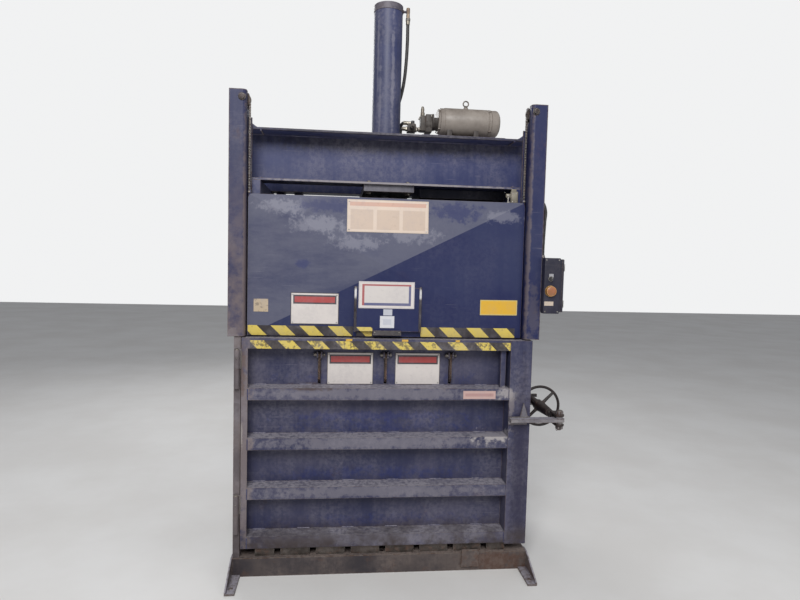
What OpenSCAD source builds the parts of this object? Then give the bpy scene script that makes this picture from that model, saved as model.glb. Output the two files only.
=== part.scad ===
// Free-standing vertical baler for waste board and film: a lifting feed gate above a side-hung
// baling door, and a hydraulic cylinder on two cross beams that drives the platen down.
// Millimetres. X runs to the viewer's right, the front faces -Y, and +Z is up.
// The origin is the centre of the four floor-anchor holes, on the floor.

/* [Body] */
// Width over the two gate guides
overall_w = 1850; // [1842:2:1900]
// Width over the side walls and their columns
body_w = 1784; // [1776:2:1800]
// Inside width of the baling chamber
chamber_w = 1524; // [1512:2:1534]
// Inside depth of the baling chamber
chamber_d = 762; // [740:2:820]
// Plate thickness of the chamber's walls
wall_t = 8; // [6:1:9]
// Height of the front and rear sills
sill_h = 112; // [100:2:116]
// Height of the chamber floor
floor_top = 166; // [160:2:170]
// Depth of the corner columns, front to back
column_d = 100; // [80:5:120]
// Depth of the ribs on the back wall
back_rib_d = 80; // [60:5:100]
// Depth of the ribs on the side walls
side_rib_d = 76; // [60:2:90]
// Top edge of the back wall
back_wall_top = 2250; // [2200:10:2270]

/* [Strap slots] */
// Number of strap slots in the floor and the platen
slot_n = 7; // [5:1:7]
// Distance between strap slots
slot_pitch = 210; // [200:2:214]
// Width of a strap slot
slot_w = 38; // [26:1:40]

/* [Feet] */
// Width of a foot plate
foot_w = 56; // [50:1:64]
// Reach of a front foot ahead of the machine's face
foot_reach = 205; // [195:5:230]
// Distance of a front anchor hole ahead of the face
foot_hole_out = 149; // [140:1:160]
// Reach of a rear foot behind the body
rear_foot_reach = 96; // [90:2:120]
// Distance of a rear anchor hole behind the body
rear_hole_out = 55; // [50:1:62]
// Thickness of a foot plate
foot_t = 12; // [10:1:16]
// Diameter of an anchor hole
anchor_d = 26; // [18:1:28]

/* [Baling door] */
// Top edge of the baling door
door_top = 1426; // [1410:2:1440]
// Depth of the door's ribs
rib_d = 108; // [100:2:116]
// Height of a door rib
rib_h = 72; // [60:2:80]
// Distance between door ribs
rib_pitch = 297; // [292:1:300]
// Thickness of the door's skin
skin_t = 8; // [6:1:10]
// Right edge of the door from the machine's centre
door_right = 884; // [878:1:888]
// Left edge of the door from the machine's centre
door_left = 846; // [842:1:848]
// Width of the upright channel along the door's latch side
door_channel_w = 134; // [120:2:140]
// Width of the upright angle along the door's hinge side
door_angle_w = 37; // [30:1:44]
// Radius of a hinge knuckle
knuckle_r = 15; // [14:0.5:16]
// Radius of a hinge pin
hinge_pin_r = 10; // [8:0.5:11]
// Length of a hinge, both knuckles together
hinge_len = 228; // [200:4:240]

/* [Retainer dogs] */
// Distance between the retainer dogs
dog_pitch = 400; // [380:5:410]
// Thickness of a dog
dog_t = 12; // [8:1:14]
// Reach of a dog's tooth into the chamber
dog_reach = 40; // [25:1:42]

/* [Latch] */
// Height of the latch screw
latch_z = 948; // [930:2:970]
// Distance of the latch pin from the machine's centre
latch_x = 1058; // [1054:1:1075]
// Radius of the latch screw
screw_r = 16; // [12:0.5:17]
// Outer radius of the handwheel
wheel_r = 138; // [120:1:140]
// Radius of the handwheel's rim bar
rim_r = 9; // [6:0.5:10]
// Distance of the handwheel behind the machine's face
wheel_back = 320; // [300:5:350]

/* [Feed gate] */
// Height of the feed gate
gate_h = 824; // [800:2:830]
// Plate thickness of the gate
gate_t = 5; // [4:1:6]
// How far the gate's centre stands proud of its rim
gate_bulge = 42; // [30:1:44]
// Travel of the gate
gate_travel = 480; // [440:5:485]
// Top of the gate guides
guide_top = 2835; // [2825:5:2860]
// Wall thickness of the gate guides
guide_t = 6; // [4:1:7]
// Pitch radius of the chain on its wheel
chain_r = 35; // [34:0.5:36]
// Pitch of the lifting chain
chain_pitch = 15.875; // [15.875]
// Length of a counterweight
weight_len = 600; // [500:10:620]

/* [Beams] */
// Underside of the cross beams
beam_z = 2347; // [2340:1:2352]
// Height of the cross beams
beam_h = 305; // [290:5:310]
// Width of a cross beam's flanges
flange_w = 162; // [150:2:170]
// Thickness of the beam plates
beam_t = 12; // [10:1:14]
// Length of the cross beams
beam_len = 1740; // [1700:2:1760]

/* [Press] */
// Outside radius of the cylinder barrel
barrel_r = 93; // [90:1:98]
// Bore radius of the cylinder
bore_r = 84; // [80:1:85]
// Top of the cylinder
cylinder_top = 3540; // [3520:2:3560]
// Radius of the piston rod
rod_r = 45; // [38:1:50]
// Stroke of the platen
stroke = 1080; // [1000:10:1085]
// Thickness of the cylinder's mounting plate
mount_t = 40; // [36:1:42]
// Width of the cylinder's mounting plate
mount_w = 305; // [290:5:320]
// Underside of the platen when it is up
platen_z = 2010; // [2000:2:2020]
// Height of the platen's ribs
platen_rib_h = 240; // [220:5:244]
// Gap between the platen and the chamber's walls
platen_gap = 12; // [8:1:16]

/* [Power unit] */
// Radius of the motor shell
motor_r = 91; // [85:1:95]
// Length of the motor shell
motor_len = 360; // [335:5:370]
// Height of the motor shaft
motor_z = 2833; // [2828:1:2840]
// Drive end of the motor from the machine's centre
motor_x = 348; // [342:2:354]
// Width of the oil tank
tank_w = 548; // [520:2:550]
// Height of the oil tank
tank_h = 396; // [360:2:398]
// Thickness of the hydraulic hoses
hose_d = 22; // [18:1:24]

/* [Controls] */
// Width of the control box
box_w = 140; // [130:2:150]
// Width of the control cover
cover_w = 98; // [92:1:104]
// Height of the control cover
cover_h = 333; // [320:1:340]
// Lower edge of the control cover
cover_z = 1597; // [1580:1:1610]
// Radius of the stop button's head
stop_r = 31; // [26:1:33]

/* [Hidden] */
$fn = 48;

// Widths, from the centre outwards
half_w = chamber_w / 2;
wall_out = half_w + wall_t;
body_out = body_w / 2;
guide_out = overall_w / 2;

// Depths, from the machine's face backwards, with the anchor pattern centred on the origin
door_d = rib_d + skin_t;
door_gap = 4;
body_d = door_d + chamber_d + wall_t + back_rib_d;
anchor_dy = body_d + rear_hole_out + foot_hole_out;
face_y = foot_hole_out - anchor_dy / 2;
column_y = face_y + door_d + door_gap;
back_in = face_y + door_d + chamber_d;
back_y = face_y + body_d;
chamber_mid = face_y + door_d + chamber_d / 2;
anchor_x = body_out + wall_t - foot_w / 2;

// Door
door_z = floor_top + 3;
rib_t = 8;
top_channel_h = 63;
rib_n = 4;
rib_end_left = -door_left + rib_t;
rib_end_right = door_right - door_channel_w;
channel_proud = 6;
upright_x = 557;
upright_w = 60;
drain_w = 60;
drain_d = 20;
last_rib_top = door_z + (rib_n - 1) * rib_pitch + rib_h;
brace_x = 700;
brace_t = 32;

// Hinge between the hinge post and the door
hinge_x = 22 - body_out;
hinge_y = face_y - 8;
hinge_post_y = hinge_y + knuckle_r + 1.5;
hinge_post_in = -door_left - 4;
hinge_low_z = 266;
hinge_high_z = 1130;
running_fit = 0.05;
knuckle_gap = 0.5;

// Retainer dogs
dog_n = 3;
dog_pin_r = 6;
dog_pivot_y = face_y + rib_d - 20;
dog_pivot_z = 1318;
dog_foot_z = 1155;
dog_side_gap = 2;
dog_slot_w = dog_t + 2 * dog_side_gap;
ear_t = 8;
skin_in = face_y + door_d;

// Latch
fork_pin_r = 12;
fork_y = face_y - 38;
bar_t = 20;
bar_w = 60;
spacer_t = 13;
ear_in = bar_t / 2 + spacer_t + 0.5;
fork_ear_t = 12;
fork_w = 56;
bridge_near = 62;
bridge_far = 92;
journal_r = 11;
collar_r = 19;
hub_r = 36;
hub_len = 60;
sleeve_r = 28;
screw_end = face_y + 640;
wheel_y = face_y + wheel_back;
keeper_y = face_y + 500;
keeper_t = 20;
keeper_h = 76;
keeper_gap = 2;
sleeve_len = keeper_y - keeper_gap - wheel_y - 20;
spoke_r = 9;

// Guides, chain and counterweights
guide_d = door_d + door_gap;
guide_in = guide_out - 96;
guide_z = door_top + 7;
gate_side_gap = 7;
gate_out = guide_in - gate_side_gap;
gate_z = door_top + 8;
gate_top = gate_z + gate_h;
rim_y = face_y + 50;
fold_d = 42;
top_fold_d = 15;
rail_w = 20;
rail_t = 8;
rail_y = face_y + 100;
slide_gap = 2;
shoe_h = 120;
shoe_t = 6;
rail_z = guide_z + 7;
rail_top = 2700;
chain_x = guide_out - 72;
chain_y = face_y + 72;
chain_z = guide_top - chain_r - 8;
axle_r = 10;
roller_r = 4.4;
plate_h = 11;
link_t = 3;
link_half = 8.5;
pin_half = 10;
flange_t = 4;
flange_r = chain_r + plate_h / 2;
wheel_half = pin_half + flange_t + 0.6;
wheel_groove_r = chain_r - roller_r - 0.6;
plate_groove_r = chain_r - plate_h / 2 - 2.5;
spacer_y = face_y + guide_t + 9;
lug_top = gate_top + 22;
weight_top = lug_top + gate_travel - 140;
weight_side_gap = 0.5;
weight_w = 2 * (guide_out - guide_t - chain_x - chain_r - weight_side_gap);
weight_d = 84;

// Beams, cylinder and platen
front_web_y = column_y + flange_w - beam_t;
rear_web_y = 2 * chamber_mid - front_web_y - beam_t;
rear_flange_y = 2 * chamber_mid - column_y;
beam_top = beam_z + beam_h;
gusset_top = beam_top + 55;
cap_t = 42;
cap_r = barrel_r + 2;
barrel_top = cylinder_top - cap_t;
piston_t = 60;
piston_top = barrel_top - 8;
gland_t = 40;
bolt_x = 120;
bolt_r = 10;
hose_x = 128;
top_port_z = barrel_top + 16;
elbow_drop = 58;
low_port_z = beam_z + 60;
platen_t = 20;
platen_top = platen_z + platen_t + platen_rib_h;
platen_x = half_w - platen_gap;
platen_y0 = face_y + door_d + platen_gap;
platen_y1 = back_in - platen_gap;
notch_w = dog_t + 32;
notch_d = dog_reach + 10;
socket_r = 80;
socket_top = platen_z + 120;

// Power unit
unit_y = chamber_mid + 55;
tank_x = 210;
tank_z = beam_top + 38 - tank_h;
tank_t = 5;
tank_gap = 16;
tank_y0 = front_web_y + beam_t + tank_gap;
tank_y1 = rear_web_y - tank_gap;
fan_len = 58;
pump_x = 232;
cover_len = 34;
pump_r = 50;
adapter_gap = 28;
eye_x = motor_x + 194;
shaft_r = 12;
manifold_x = 146;
manifold_w = 56;
manifold_h = 48;
manifold_z = beam_top + 100;
elbow_z = manifold_z + manifold_h + 14;

// Controls
box_z = cover_z + 6;
box_h = cover_h - 12;
box_d = 90;
cover_d = 50;
cover_y = face_y - cover_d;
stop_x = guide_out + 40;
stop_z = cover_z + 135;
knob_z = stop_z + 74;
stop_travel = 6;
stem_r = 11;
knob_stem_r = 7;
switch_w = 44;
switch_x = guide_in - rail_w - 19 - switch_w;
switch_z = beam_z - 92;
switch_h = 76;
lever_z = switch_z + 50;
lever_x = switch_x - 16;
lever_pin_r = 4;

// Box between limits on each axis
module block(x, y, z) {
    translate([x[0], y[0], z[0]])
        cube([x[1] - x[0], y[1] - y[0], z[1] - z[0]]);
}

// Cylinder along Y that starts at the given point
module rod_y(at, r, len) {
    translate(at)
        rotate([-90, 0, 0])
            cylinder(r = r, h = len);
}

// Cylinder along X that starts at the given point
module rod_x(at, r, len) {
    translate(at)
        rotate([0, 90, 0])
            cylinder(r = r, h = len);
}

// Cylinder along Z that starts at the given point
module rod_z(at, r, len) {
    translate(at)
        cylinder(r = r, h = len);
}

// Six-sided nut or bolt head along Z
module hex_z(at, across, len) {
    translate(at)
        cylinder(r = across / 2 / cos(30), h = len, $fn = 6);
}

// Six-sided nut or bolt head along Y
module hex_y(at, across, len) {
    translate(at)
        rotate([-90, 0, 0])
            cylinder(r = across / 2 / cos(30), h = len, $fn = 6);
}

// Plate in the YZ plane from an outline of [y, z] points
module side_plate(x, t, points) {
    translate([x, 0, 0])
        rotate([90, 0, 90])
            linear_extrude(t)
                polygon(points);
}

// Plate in the XZ plane from an outline of [x, z] points
module front_plate(y, t, points) {
    translate([0, y + t, 0])
        rotate([90, 0, 0])
            linear_extrude(t)
                polygon(points);
}

module both_sides() {
    children();
    mirror([1, 0, 0])
        children();
}

// Open channel along X with its web at the front, standing on a plate behind it
module front_channel(x, z, y0, y1, t, drain) {
    difference() {
        block(x, [y0, y1], z);
        block([x[0] - 1, x[1] + 1], [y0 + t, y1 + 1], [z[0] + t, z[1] - t]);
        if (drain)
            block([-drain_w / 2, drain_w / 2], [y0 + 2 * t, y0 + 2 * t + drain_d],
                [z[0] - 1, z[0] + t + 1]);
    }
}

// Points of a smooth curve through hand-picked points
function curve_point(p, i, t) =
    let (a = p[max(i - 1, 0)], b = p[i], c = p[i + 1], d = p[min(i + 2, len(p) - 1)])
    0.5 * (2 * b + (c - a) * t + (2 * a - 5 * b + 4 * c - d) * t * t + (3 * b - a - 3 * c + d) * t * t * t);
function curve(p, steps) = concat(
    [for (i = [0 : len(p) - 2]) for (k = [0 : steps - 1]) curve_point(p, i, k / steps)],
    [p[len(p) - 1]]);
function unit(v) = v / norm(v);
function along(c, i) = unit(c[min(i + 1, len(c) - 1)] - c[max(i - 1, 0)]);
function ring(c, i, r, sides, side) =
    let (d = along(c, i), u = unit(cross(d, side)), v = cross(d, u))
    [for (k = [0 : sides - 1]) c[i] + r * (cos(360 * k / sides) * u + sin(360 * k / sides) * v)];

// Tube swept along a curve; side is a direction that the curve never follows
module tube_along(points, r, side, steps = 5, sides = 10) {
    c = curve(points, steps);
    n = len(c);
    rings = [for (i = [0 : n - 1]) each ring(c, i, r, sides, side)];
    walls = [for (i = [0 : n - 2]) for (k = [0 : sides - 1])
        let (a = i * sides, b = (k + 1) % sides) [a + k, a + b, a + sides + b, a + sides + k]];
    ends = [[for (k = [sides - 1 : -1 : 0]) k], [for (k = [0 : sides - 1]) (n - 1) * sides + k]];
    polyhedron(rings, concat(walls, ends), convexity = 6);
}

// Base

module front_sill() {
    color([0.30, 0.29, 0.33])
        difference() {
            union() {
                front_channel([-wall_out, wall_out], [0, sill_h], face_y, column_y, rib_t, true);
                both_sides()
                    front_channel([wall_out, body_out], [0, sill_h], face_y, column_y, rib_t, false);
                block([485, 592], [face_y - 14, face_y], [28, sill_h + 20]);
            }
            for (x = [-560 : 280 : 560])
                rod_z([x, face_y + 60, -1], 14, sill_h + 2);
        }
}

module rear_sill() {
    color([0.22, 0.22, 0.27])
        difference() {
            block([-half_w, half_w], [back_in + wall_t, back_y], [0, sill_h]);
            block([-half_w + rib_t, half_w - rib_t], [back_in + wall_t + rib_t, back_y - rib_t],
                [-1, sill_h - rib_t]);
        }
}

// Three cross members under the floor
module floor_bearers() {
    color([0.22, 0.22, 0.27])
        for (y = [column_y + 60, chamber_mid, back_in - 60])
            difference() {
                block([-half_w, half_w], [y - 30, y + 30], [sill_h - 76, sill_h]);
                block([-half_w - 1, half_w + 1], [y - 22, y + 22], [sill_h - 77, sill_h - rib_t]);
            }
}

// Floor of inverted channels, closed in front, with the strap slots between them
module floor_strip(x0, x1) {
    difference() {
        block([x0, x1], [face_y + 26, back_in], [sill_h, floor_top]);
        block([x0 + 6, x1 - 6], [face_y + 32, back_in + 1], [sill_h - 1, floor_top - 8]);
    }
}

module chamber_floor() {
    first = -(slot_n - 1) / 2 * slot_pitch;
    color([0.33, 0.31, 0.33]) {
        floor_strip(-half_w, first - slot_w / 2);
        for (i = [0 : slot_n - 2])
            floor_strip(first + i * slot_pitch + slot_w / 2, first + (i + 1) * slot_pitch - slot_w / 2);
        floor_strip(-first + slot_w / 2, half_w);
    }
}

module front_foot() {
    x0 = body_out + wall_t - foot_w;
    x1 = body_out + wall_t;
    difference() {
        union() {
            block([x0, x1], [face_y - foot_reach, face_y], [0, foot_t]);
            side_plate(body_out, wall_t, [[face_y - foot_reach, 0], [face_y + 60, 0],
                [face_y + 60, sill_h], [face_y - 6, sill_h], [face_y - foot_reach, foot_t + 6]]);
        }
        rod_z([anchor_x, face_y - foot_hole_out, -1], anchor_d / 2, foot_t + 2);
    }
}

module rear_foot() {
    x0 = body_out + wall_t - foot_w;
    x1 = body_out + wall_t;
    difference() {
        union() {
            block([x0, x1], [back_y, back_y + rear_foot_reach], [0, foot_t]);
            side_plate(body_out, wall_t, [[back_y - 60, 0], [back_y + rear_foot_reach, 0],
                [back_y + rear_foot_reach, foot_t + 6], [back_y + 6, sill_h], [back_y - 60, sill_h]]);
        }
        rod_z([anchor_x, back_y + rear_hole_out, -1], anchor_d / 2, foot_t + 2);
    }
}

module front_feet() {
    color([0.42, 0.39, 0.38])
        both_sides()
            front_foot();
}

module rear_feet() {
    color([0.30, 0.27, 0.27])
        both_sides()
            rear_foot();
}

// Side wall: plate, two corner columns, side sill and a ladder of ribs, welded into one
module side_wall() {
    rib_levels = [for (i = [0 : 7]) door_z + i * rib_pitch];
    block([half_w, wall_out], [column_y, back_y], [sill_h, beam_z]);
    column(column_y);
    column(back_y - column_d);
    block([wall_out, body_out], [column_y + column_d - 1, back_y - column_d + 1], [0, rib_t]);
    block([body_out - rib_t, body_out], [column_y + column_d - 1, back_y - column_d + 1], [0, sill_h]);
    for (z = rib_levels) {
        block([wall_out - 1, wall_out + side_rib_d], [column_y + column_d - 1, back_y - column_d + 1],
            [z + rib_h - rib_t, z + rib_h]);
        block([wall_out + side_rib_d - rib_t, wall_out + side_rib_d],
            [column_y + column_d - 1, back_y - column_d + 1], [z, z + rib_h]);
    }
}

// Corner column: a tube, open at the bottom
module column(y) {
    difference() {
        block([wall_out - 1, body_out], [y, y + column_d], [0, beam_z]);
        block([wall_out + rib_t, body_out - rib_t], [y + rib_t, y + column_d - rib_t],
            [-1, beam_z - rib_t]);
    }
}

module left_wall() {
    color([0.20, 0.22, 0.36])
        mirror([1, 0, 0])
            side_wall();
}

module right_wall() {
    color([0.20, 0.22, 0.36])
        side_wall();
}

// Tube on the back wall, with a plate at the top that meets the rear beam's flange
module upright(x) {
    y0 = back_in + wall_t - 1;
    difference() {
        block([x, x + upright_w], [y0, back_y - rib_t], [sill_h, beam_z + 60]);
        block([x + rib_t, x + upright_w - rib_t], [y0 + rib_t, back_y - 2 * rib_t],
            [sill_h - 1, beam_z + 60 - rib_t]);
    }
    block([x, x + upright_w], [rear_flange_y, y0 + rib_t], [back_wall_top, beam_z + 60]);
}

// Back wall: plate, cross ribs and the four uprights that carry the rear beam
module back_wall() {
    color([0.20, 0.22, 0.36]) {
        block([-half_w, half_w], [back_in, back_in + wall_t], [sill_h, back_wall_top]);
        for (i = [0 : 6])
            translate([0, 0, door_z + i * rib_pitch]) {
                block([-half_w, half_w], [back_in + wall_t - 1, back_y], [rib_h - rib_t, rib_h]);
                block([-half_w, half_w], [back_y - rib_t, back_y], [0, rib_h]);
            }
        both_sides()
            for (x = [upright_x, half_w - 19 - upright_w])
                upright(x);
    }
}

// Upright bar on the left that carries the hinges, with the fixed knuckles and their pins
module hinge_post() {
    half = (hinge_len - knuckle_gap) / 2;
    color([0.36, 0.36, 0.42]) {
        difference() {
            block([-body_out + 3, hinge_post_in], [hinge_post_y, column_y], [sill_h, door_top + 4]);
            block([-body_out + 9, hinge_post_in - 6], [hinge_post_y + 6, column_y + 1],
                [sill_h - 1, door_top - 4]);
        }
        for (z = [hinge_low_z, hinge_high_z]) {
            rod_z([hinge_x, hinge_y, z], knuckle_r, half);
            rod_z([hinge_x, hinge_y, z + half - 1], hinge_pin_r, half + 2);
            block([hinge_x - 9, hinge_x + 9], [hinge_y, hinge_post_y + 1], [z + 6, z + half - 6]);
        }
    }
}

// Door

// Knuckles that turn on the pins, each with its leaf to the door's edge
module door_knuckles() {
    half = (hinge_len - knuckle_gap) / 2;
    color([0.45, 0.44, 0.48])
        for (z = [hinge_low_z, hinge_high_z])
            difference() {
                union() {
                    rod_z([hinge_x, hinge_y, z + half + knuckle_gap], knuckle_r, half);
                    block([hinge_x + 4, -door_left], [face_y, face_y + 6],
                        [z + half + knuckle_gap, z + hinge_len]);
                }
                rod_z([hinge_x, hinge_y, z + half], hinge_pin_r + running_fit, half + 2);
            }
}

// Ears that carry a retainer dog's pin
module dog_ears(x) {
    for (side = [-1, 1])
        translate([x + side * (dog_slot_w + ear_t) / 2 - ear_t / 2, 0, 0])
            difference() {
                block([0, ear_t], [dog_pivot_y - 14, face_y + rib_d + 1],
                    [dog_pivot_z - 18, dog_pivot_z + 18]);
                rod_x([-1, dog_pivot_y, dog_pivot_z], dog_pin_r, ear_t + 2);
            }
}

function dog_x(i) = (i - (dog_n - 1) / 2) * dog_pitch;

module bale_door() {
    color([0.25, 0.27, 0.40]) {
        difference() {
            block([-door_left, door_right], [face_y + rib_d, skin_in], [door_z, door_top]);
            for (i = [0 : dog_n - 1])
                block([dog_x(i) - dog_slot_w / 2, dog_x(i) + dog_slot_w / 2],
                    [face_y + rib_d - 1, skin_in + 1], [dog_foot_z - 16, dog_pivot_z + 8]);
        }
        for (i = [0 : rib_n - 1])
            front_channel([rib_end_left - 1, rib_end_right + 1],
                [door_z + i * rib_pitch, door_z + i * rib_pitch + rib_h],
                face_y, face_y + rib_d + 1, rib_t, true);
        front_channel([rib_end_left - 1, rib_end_right + 1], [door_top - top_channel_h, door_top],
            face_y, face_y + rib_d + 1, rib_t, true);
        block([-door_left, -door_left + rib_t], [face_y, face_y + rib_d + 1], [door_z, door_top]);
        block([-door_left, -door_left + door_angle_w], [face_y, face_y + rib_t], [door_z, door_top]);
        latch_channel();
        block([brace_x, brace_x + brace_t], [face_y + 30, face_y + 30 + brace_t],
            [last_rib_top - 1, door_top - top_channel_h + 1]);
        for (i = [0 : dog_n - 1])
            dog_ears(dog_x(i));
    }
}

// Upright channel along the latch side, with a cap on top
module latch_channel() {
    y0 = face_y - channel_proud;
    y1 = face_y + rib_d + 1;
    block([rib_end_right, door_right], [y0, y0 + rib_t], [door_z - 6, door_top]);
    for (x = [rib_end_right, door_right - rib_t])
        block([x, x + rib_t], [y0, y1], [door_z, door_top]);
    block([rib_end_right, door_right], [y0, y1], [door_top - rib_t, door_top]);
}

// Pins of the retainer dogs, with a head and a washer each
module dog_pins() {
    reach = dog_slot_w / 2 + ear_t;
    color([0.62, 0.60, 0.58])
        for (i = [0 : dog_n - 1]) {
            rod_x([dog_x(i) - reach - 6, dog_pivot_y, dog_pivot_z], dog_pin_r, 2 * reach + 12);
            rod_x([dog_x(i) - reach - 9, dog_pivot_y, dog_pivot_z], 11, 9);
            rod_x([dog_x(i) + reach, dog_pivot_y, dog_pivot_z], 9, 3);
        }
}

// Retainer dog: a hanging plate whose tooth reaches through the skin and holds the bale down
module dog(i) {
    tooth = skin_in + dog_reach;
    color([0.30, 0.20, 0.16])
        difference() {
            union() {
                side_plate(dog_x(i) - dog_t / 2, dog_t, [
                    [dog_pivot_y - 10, dog_pivot_z - 9], [dog_pivot_y + 13, dog_pivot_z + 3],
                    [skin_in + 4, dog_pivot_z - 20], [tooth, dog_foot_z + 14], [tooth, dog_foot_z],
                    [dog_pivot_y - 4, dog_foot_z], [dog_pivot_y - 14, dog_foot_z + 20]]);
                rod_x([dog_x(i) - dog_t / 2, dog_pivot_y, dog_pivot_z], 13, dog_t);
            }
            rod_x([dog_x(i) - dog_t, dog_pivot_y, dog_pivot_z], dog_pin_r + running_fit, 2 * dog_t);
        }
}

module left_dog() {
    dog(0);
}

module middle_dog() {
    dog(1);
}

module right_dog() {
    dog(2);
}

// Latch

// Flat bar on the door with its gusset, its spacers and the upright pin with two nuts
module latch_bracket() {
    y1 = face_y - channel_proud;
    y0 = fork_y - bar_w / 2;
    pin_reach = ear_in + fork_ear_t + 0.5;
    color([0.47, 0.45, 0.46]) {
        block([rib_end_right - 2, latch_x], [y0, y1], [latch_z - bar_t / 2, latch_z + bar_t / 2]);
        rod_z([latch_x, fork_y, latch_z - bar_t / 2], bar_w / 2, bar_t);
        block([rib_end_right - 2, door_right - 22], [y1 - 12, y1], [latch_z - 34, latch_z + bar_t / 2]);
        front_plate(y1 - 12, 12, [[door_right - 66, latch_z + bar_t / 2 - 1],
            [door_right - 14, latch_z + bar_t / 2 - 1], [door_right - 44, latch_z + 98]]);
        rod_z([latch_x, fork_y, latch_z - bar_t / 2 - spacer_t], 20, bar_t + 2 * spacer_t);
        rod_z([latch_x, fork_y, latch_z - pin_reach - 24], fork_pin_r, 2 * pin_reach + 48);
        hex_z([latch_x, fork_y, latch_z + pin_reach], 38, 18);
        hex_z([latch_x, fork_y, latch_z - pin_reach - 18], 38, 18);
    }
}

// Fork that swings on the pin and carries the screw's front bearing
module latch_fork() {
    color([0.20, 0.19, 0.21])
        difference() {
            union() {
                for (z = [latch_z + ear_in, latch_z - ear_in - fork_ear_t]) {
                    block([latch_x - fork_w / 2, latch_x + fork_w / 2], [fork_y, fork_y + bridge_far],
                        [z, z + fork_ear_t]);
                    rod_z([latch_x, fork_y, z], fork_w / 2, fork_ear_t);
                }
                block([latch_x - fork_w / 2, latch_x + fork_w / 2],
                    [fork_y + bridge_near, fork_y + bridge_far],
                    [latch_z - ear_in - 1, latch_z + ear_in + 1]);
            }
            rod_z([latch_x, fork_y, latch_z - 80], fork_pin_r + running_fit, 160);
            rod_y([latch_x, fork_y + bridge_near - 1, latch_z], journal_r + running_fit,
                bridge_far - bridge_near + 2);
        }
}

// Handwheel and the screw that it turns
module handwheel() {
    front = fork_y + bridge_near;
    back = fork_y + bridge_far;
    color([0.10, 0.10, 0.11]) {
        rod_y([latch_x, front - 14, latch_z], journal_r, back - front + 16);
        rod_y([latch_x, front - 14, latch_z], collar_r, 13);
        rod_y([latch_x, back + 1, latch_z], screw_r, screw_end - back - 1);
        rod_y([latch_x, wheel_y - 22, latch_z], hub_r, hub_len);
        rod_y([latch_x, wheel_y + 20, latch_z], sleeve_r, sleeve_len);
        translate([latch_x, wheel_y - 190, latch_z])
            rotate([-90, 0, 0])
                cylinder(r1 = sleeve_r - 2, r2 = hub_r - 2.5, h = 170);
        translate([latch_x, wheel_y, latch_z])
            rotate([-90, 0, 0]) {
                rotate_extrude($fn = 96)
                    translate([wheel_r - rim_r, 0])
                        circle(r = rim_r, $fn = 24);
                for (a = [45 : 90 : 315])
                    rotate([0, 90, a])
                        translate([0, 0, screw_r])
                            cylinder(r = spoke_r, h = wheel_r - rim_r - screw_r, $fn = 24);
            }
    }
}

// Slotted plate on the right wall; the screw lies in its open slot
module latch_keeper() {
    slot_h = 2 * (screw_r + keeper_gap);
    slot_in = latch_x - screw_r - keeper_gap;
    plate_out = latch_x + screw_r + 26;
    color([0.24, 0.25, 0.36]) {
        difference() {
            block([wall_out, plate_out], [keeper_y, keeper_y + keeper_t],
                [latch_z - keeper_h / 2, latch_z + keeper_h / 2]);
            block([slot_in, plate_out + 1], [keeper_y - 1, keeper_y + keeper_t + 1],
                [latch_z - slot_h / 2, latch_z + slot_h / 2]);
        }
        for (z = [latch_z - keeper_h / 2, latch_z + keeper_h / 2 - 10])
            block([wall_out, slot_in - 30], [keeper_y + keeper_t - 1, keeper_y + keeper_t + 90],
                [z, z + 10]);
    }
}

// Gate guides, wheels and chains

// Column with a rounded inner front edge, as a solid
module guide_column(x0, x1, y0, y1, r, z) {
    block([x0 + r, x1], [y0, y1], z);
    block([x0, x0 + r + 1], [y0 + r, y1], z);
    rod_z([x0 + r, y0 + r, z[0]], r, z[1] - z[0]);
}

module gate_guide() {
    r = 24;
    difference() {
        guide_column(guide_in, guide_out, face_y, column_y, r, [guide_z, guide_top]);
        guide_column(guide_in + guide_t, guide_out - guide_t, face_y + guide_t, column_y - guide_t,
            r - guide_t, [guide_z - 1, guide_top + 1]);
        block([guide_in - 1, guide_in + guide_t + 1],
            [chain_y - wheel_half - 4, chain_y + wheel_half + 4],
            [chain_z - flange_r - 12, guide_top + 1]);
        rod_y([chain_x, face_y - 1, chain_z], axle_r, guide_d + 2);
    }
    block([guide_in - rail_w, guide_in + 3], [rail_y, rail_y + rail_t], [rail_z, rail_top]);
}

module left_guide() {
    color([0.24, 0.26, 0.40])
        mirror([1, 0, 0])
            gate_guide();
}

module right_guide() {
    color([0.24, 0.26, 0.40])
        gate_guide();
}

// Axle bolts of the chain wheels, with spacers on both sides of each wheel
module wheel_axles() {
    color([0.60, 0.58, 0.55])
        both_sides() {
            rod_y([chain_x, face_y, chain_z], axle_r, guide_d + 4);
            rod_y([chain_x, spacer_y, chain_z], 14, chain_y - wheel_half - 0.5 - spacer_y);
            rod_y([chain_x, chain_y + wheel_half + 0.5, chain_z], 14,
                column_y - guide_t - chain_y - wheel_half - 0.5);
            hex_y([chain_x, face_y - 11, chain_z], 32, 11);
            hex_y([chain_x, column_y, chain_z], 30, 12);
        }
}

// Wheel with a stepped groove: the rollers ride on the middle and the plates clear the steps
module chain_wheel() {
    difference() {
        union() {
            rod_y([chain_x, chain_y - wheel_half, chain_z], plate_groove_r, 2 * wheel_half);
            rod_y([chain_x, chain_y - 4.5, chain_z], wheel_groove_r, 9);
            for (y = [chain_y - wheel_half, chain_y + wheel_half - flange_t])
                rod_y([chain_x, y, chain_z], flange_r, flange_t);
        }
        rod_y([chain_x, chain_y - wheel_half - 1, chain_z], axle_r + running_fit, 2 * wheel_half + 2);
    }
}

module left_chain_wheel() {
    color([0.45, 0.43, 0.42])
        mirror([1, 0, 0])
            chain_wheel();
}

module right_chain_wheel() {
    color([0.45, 0.43, 0.42])
        chain_wheel();
}

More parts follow.
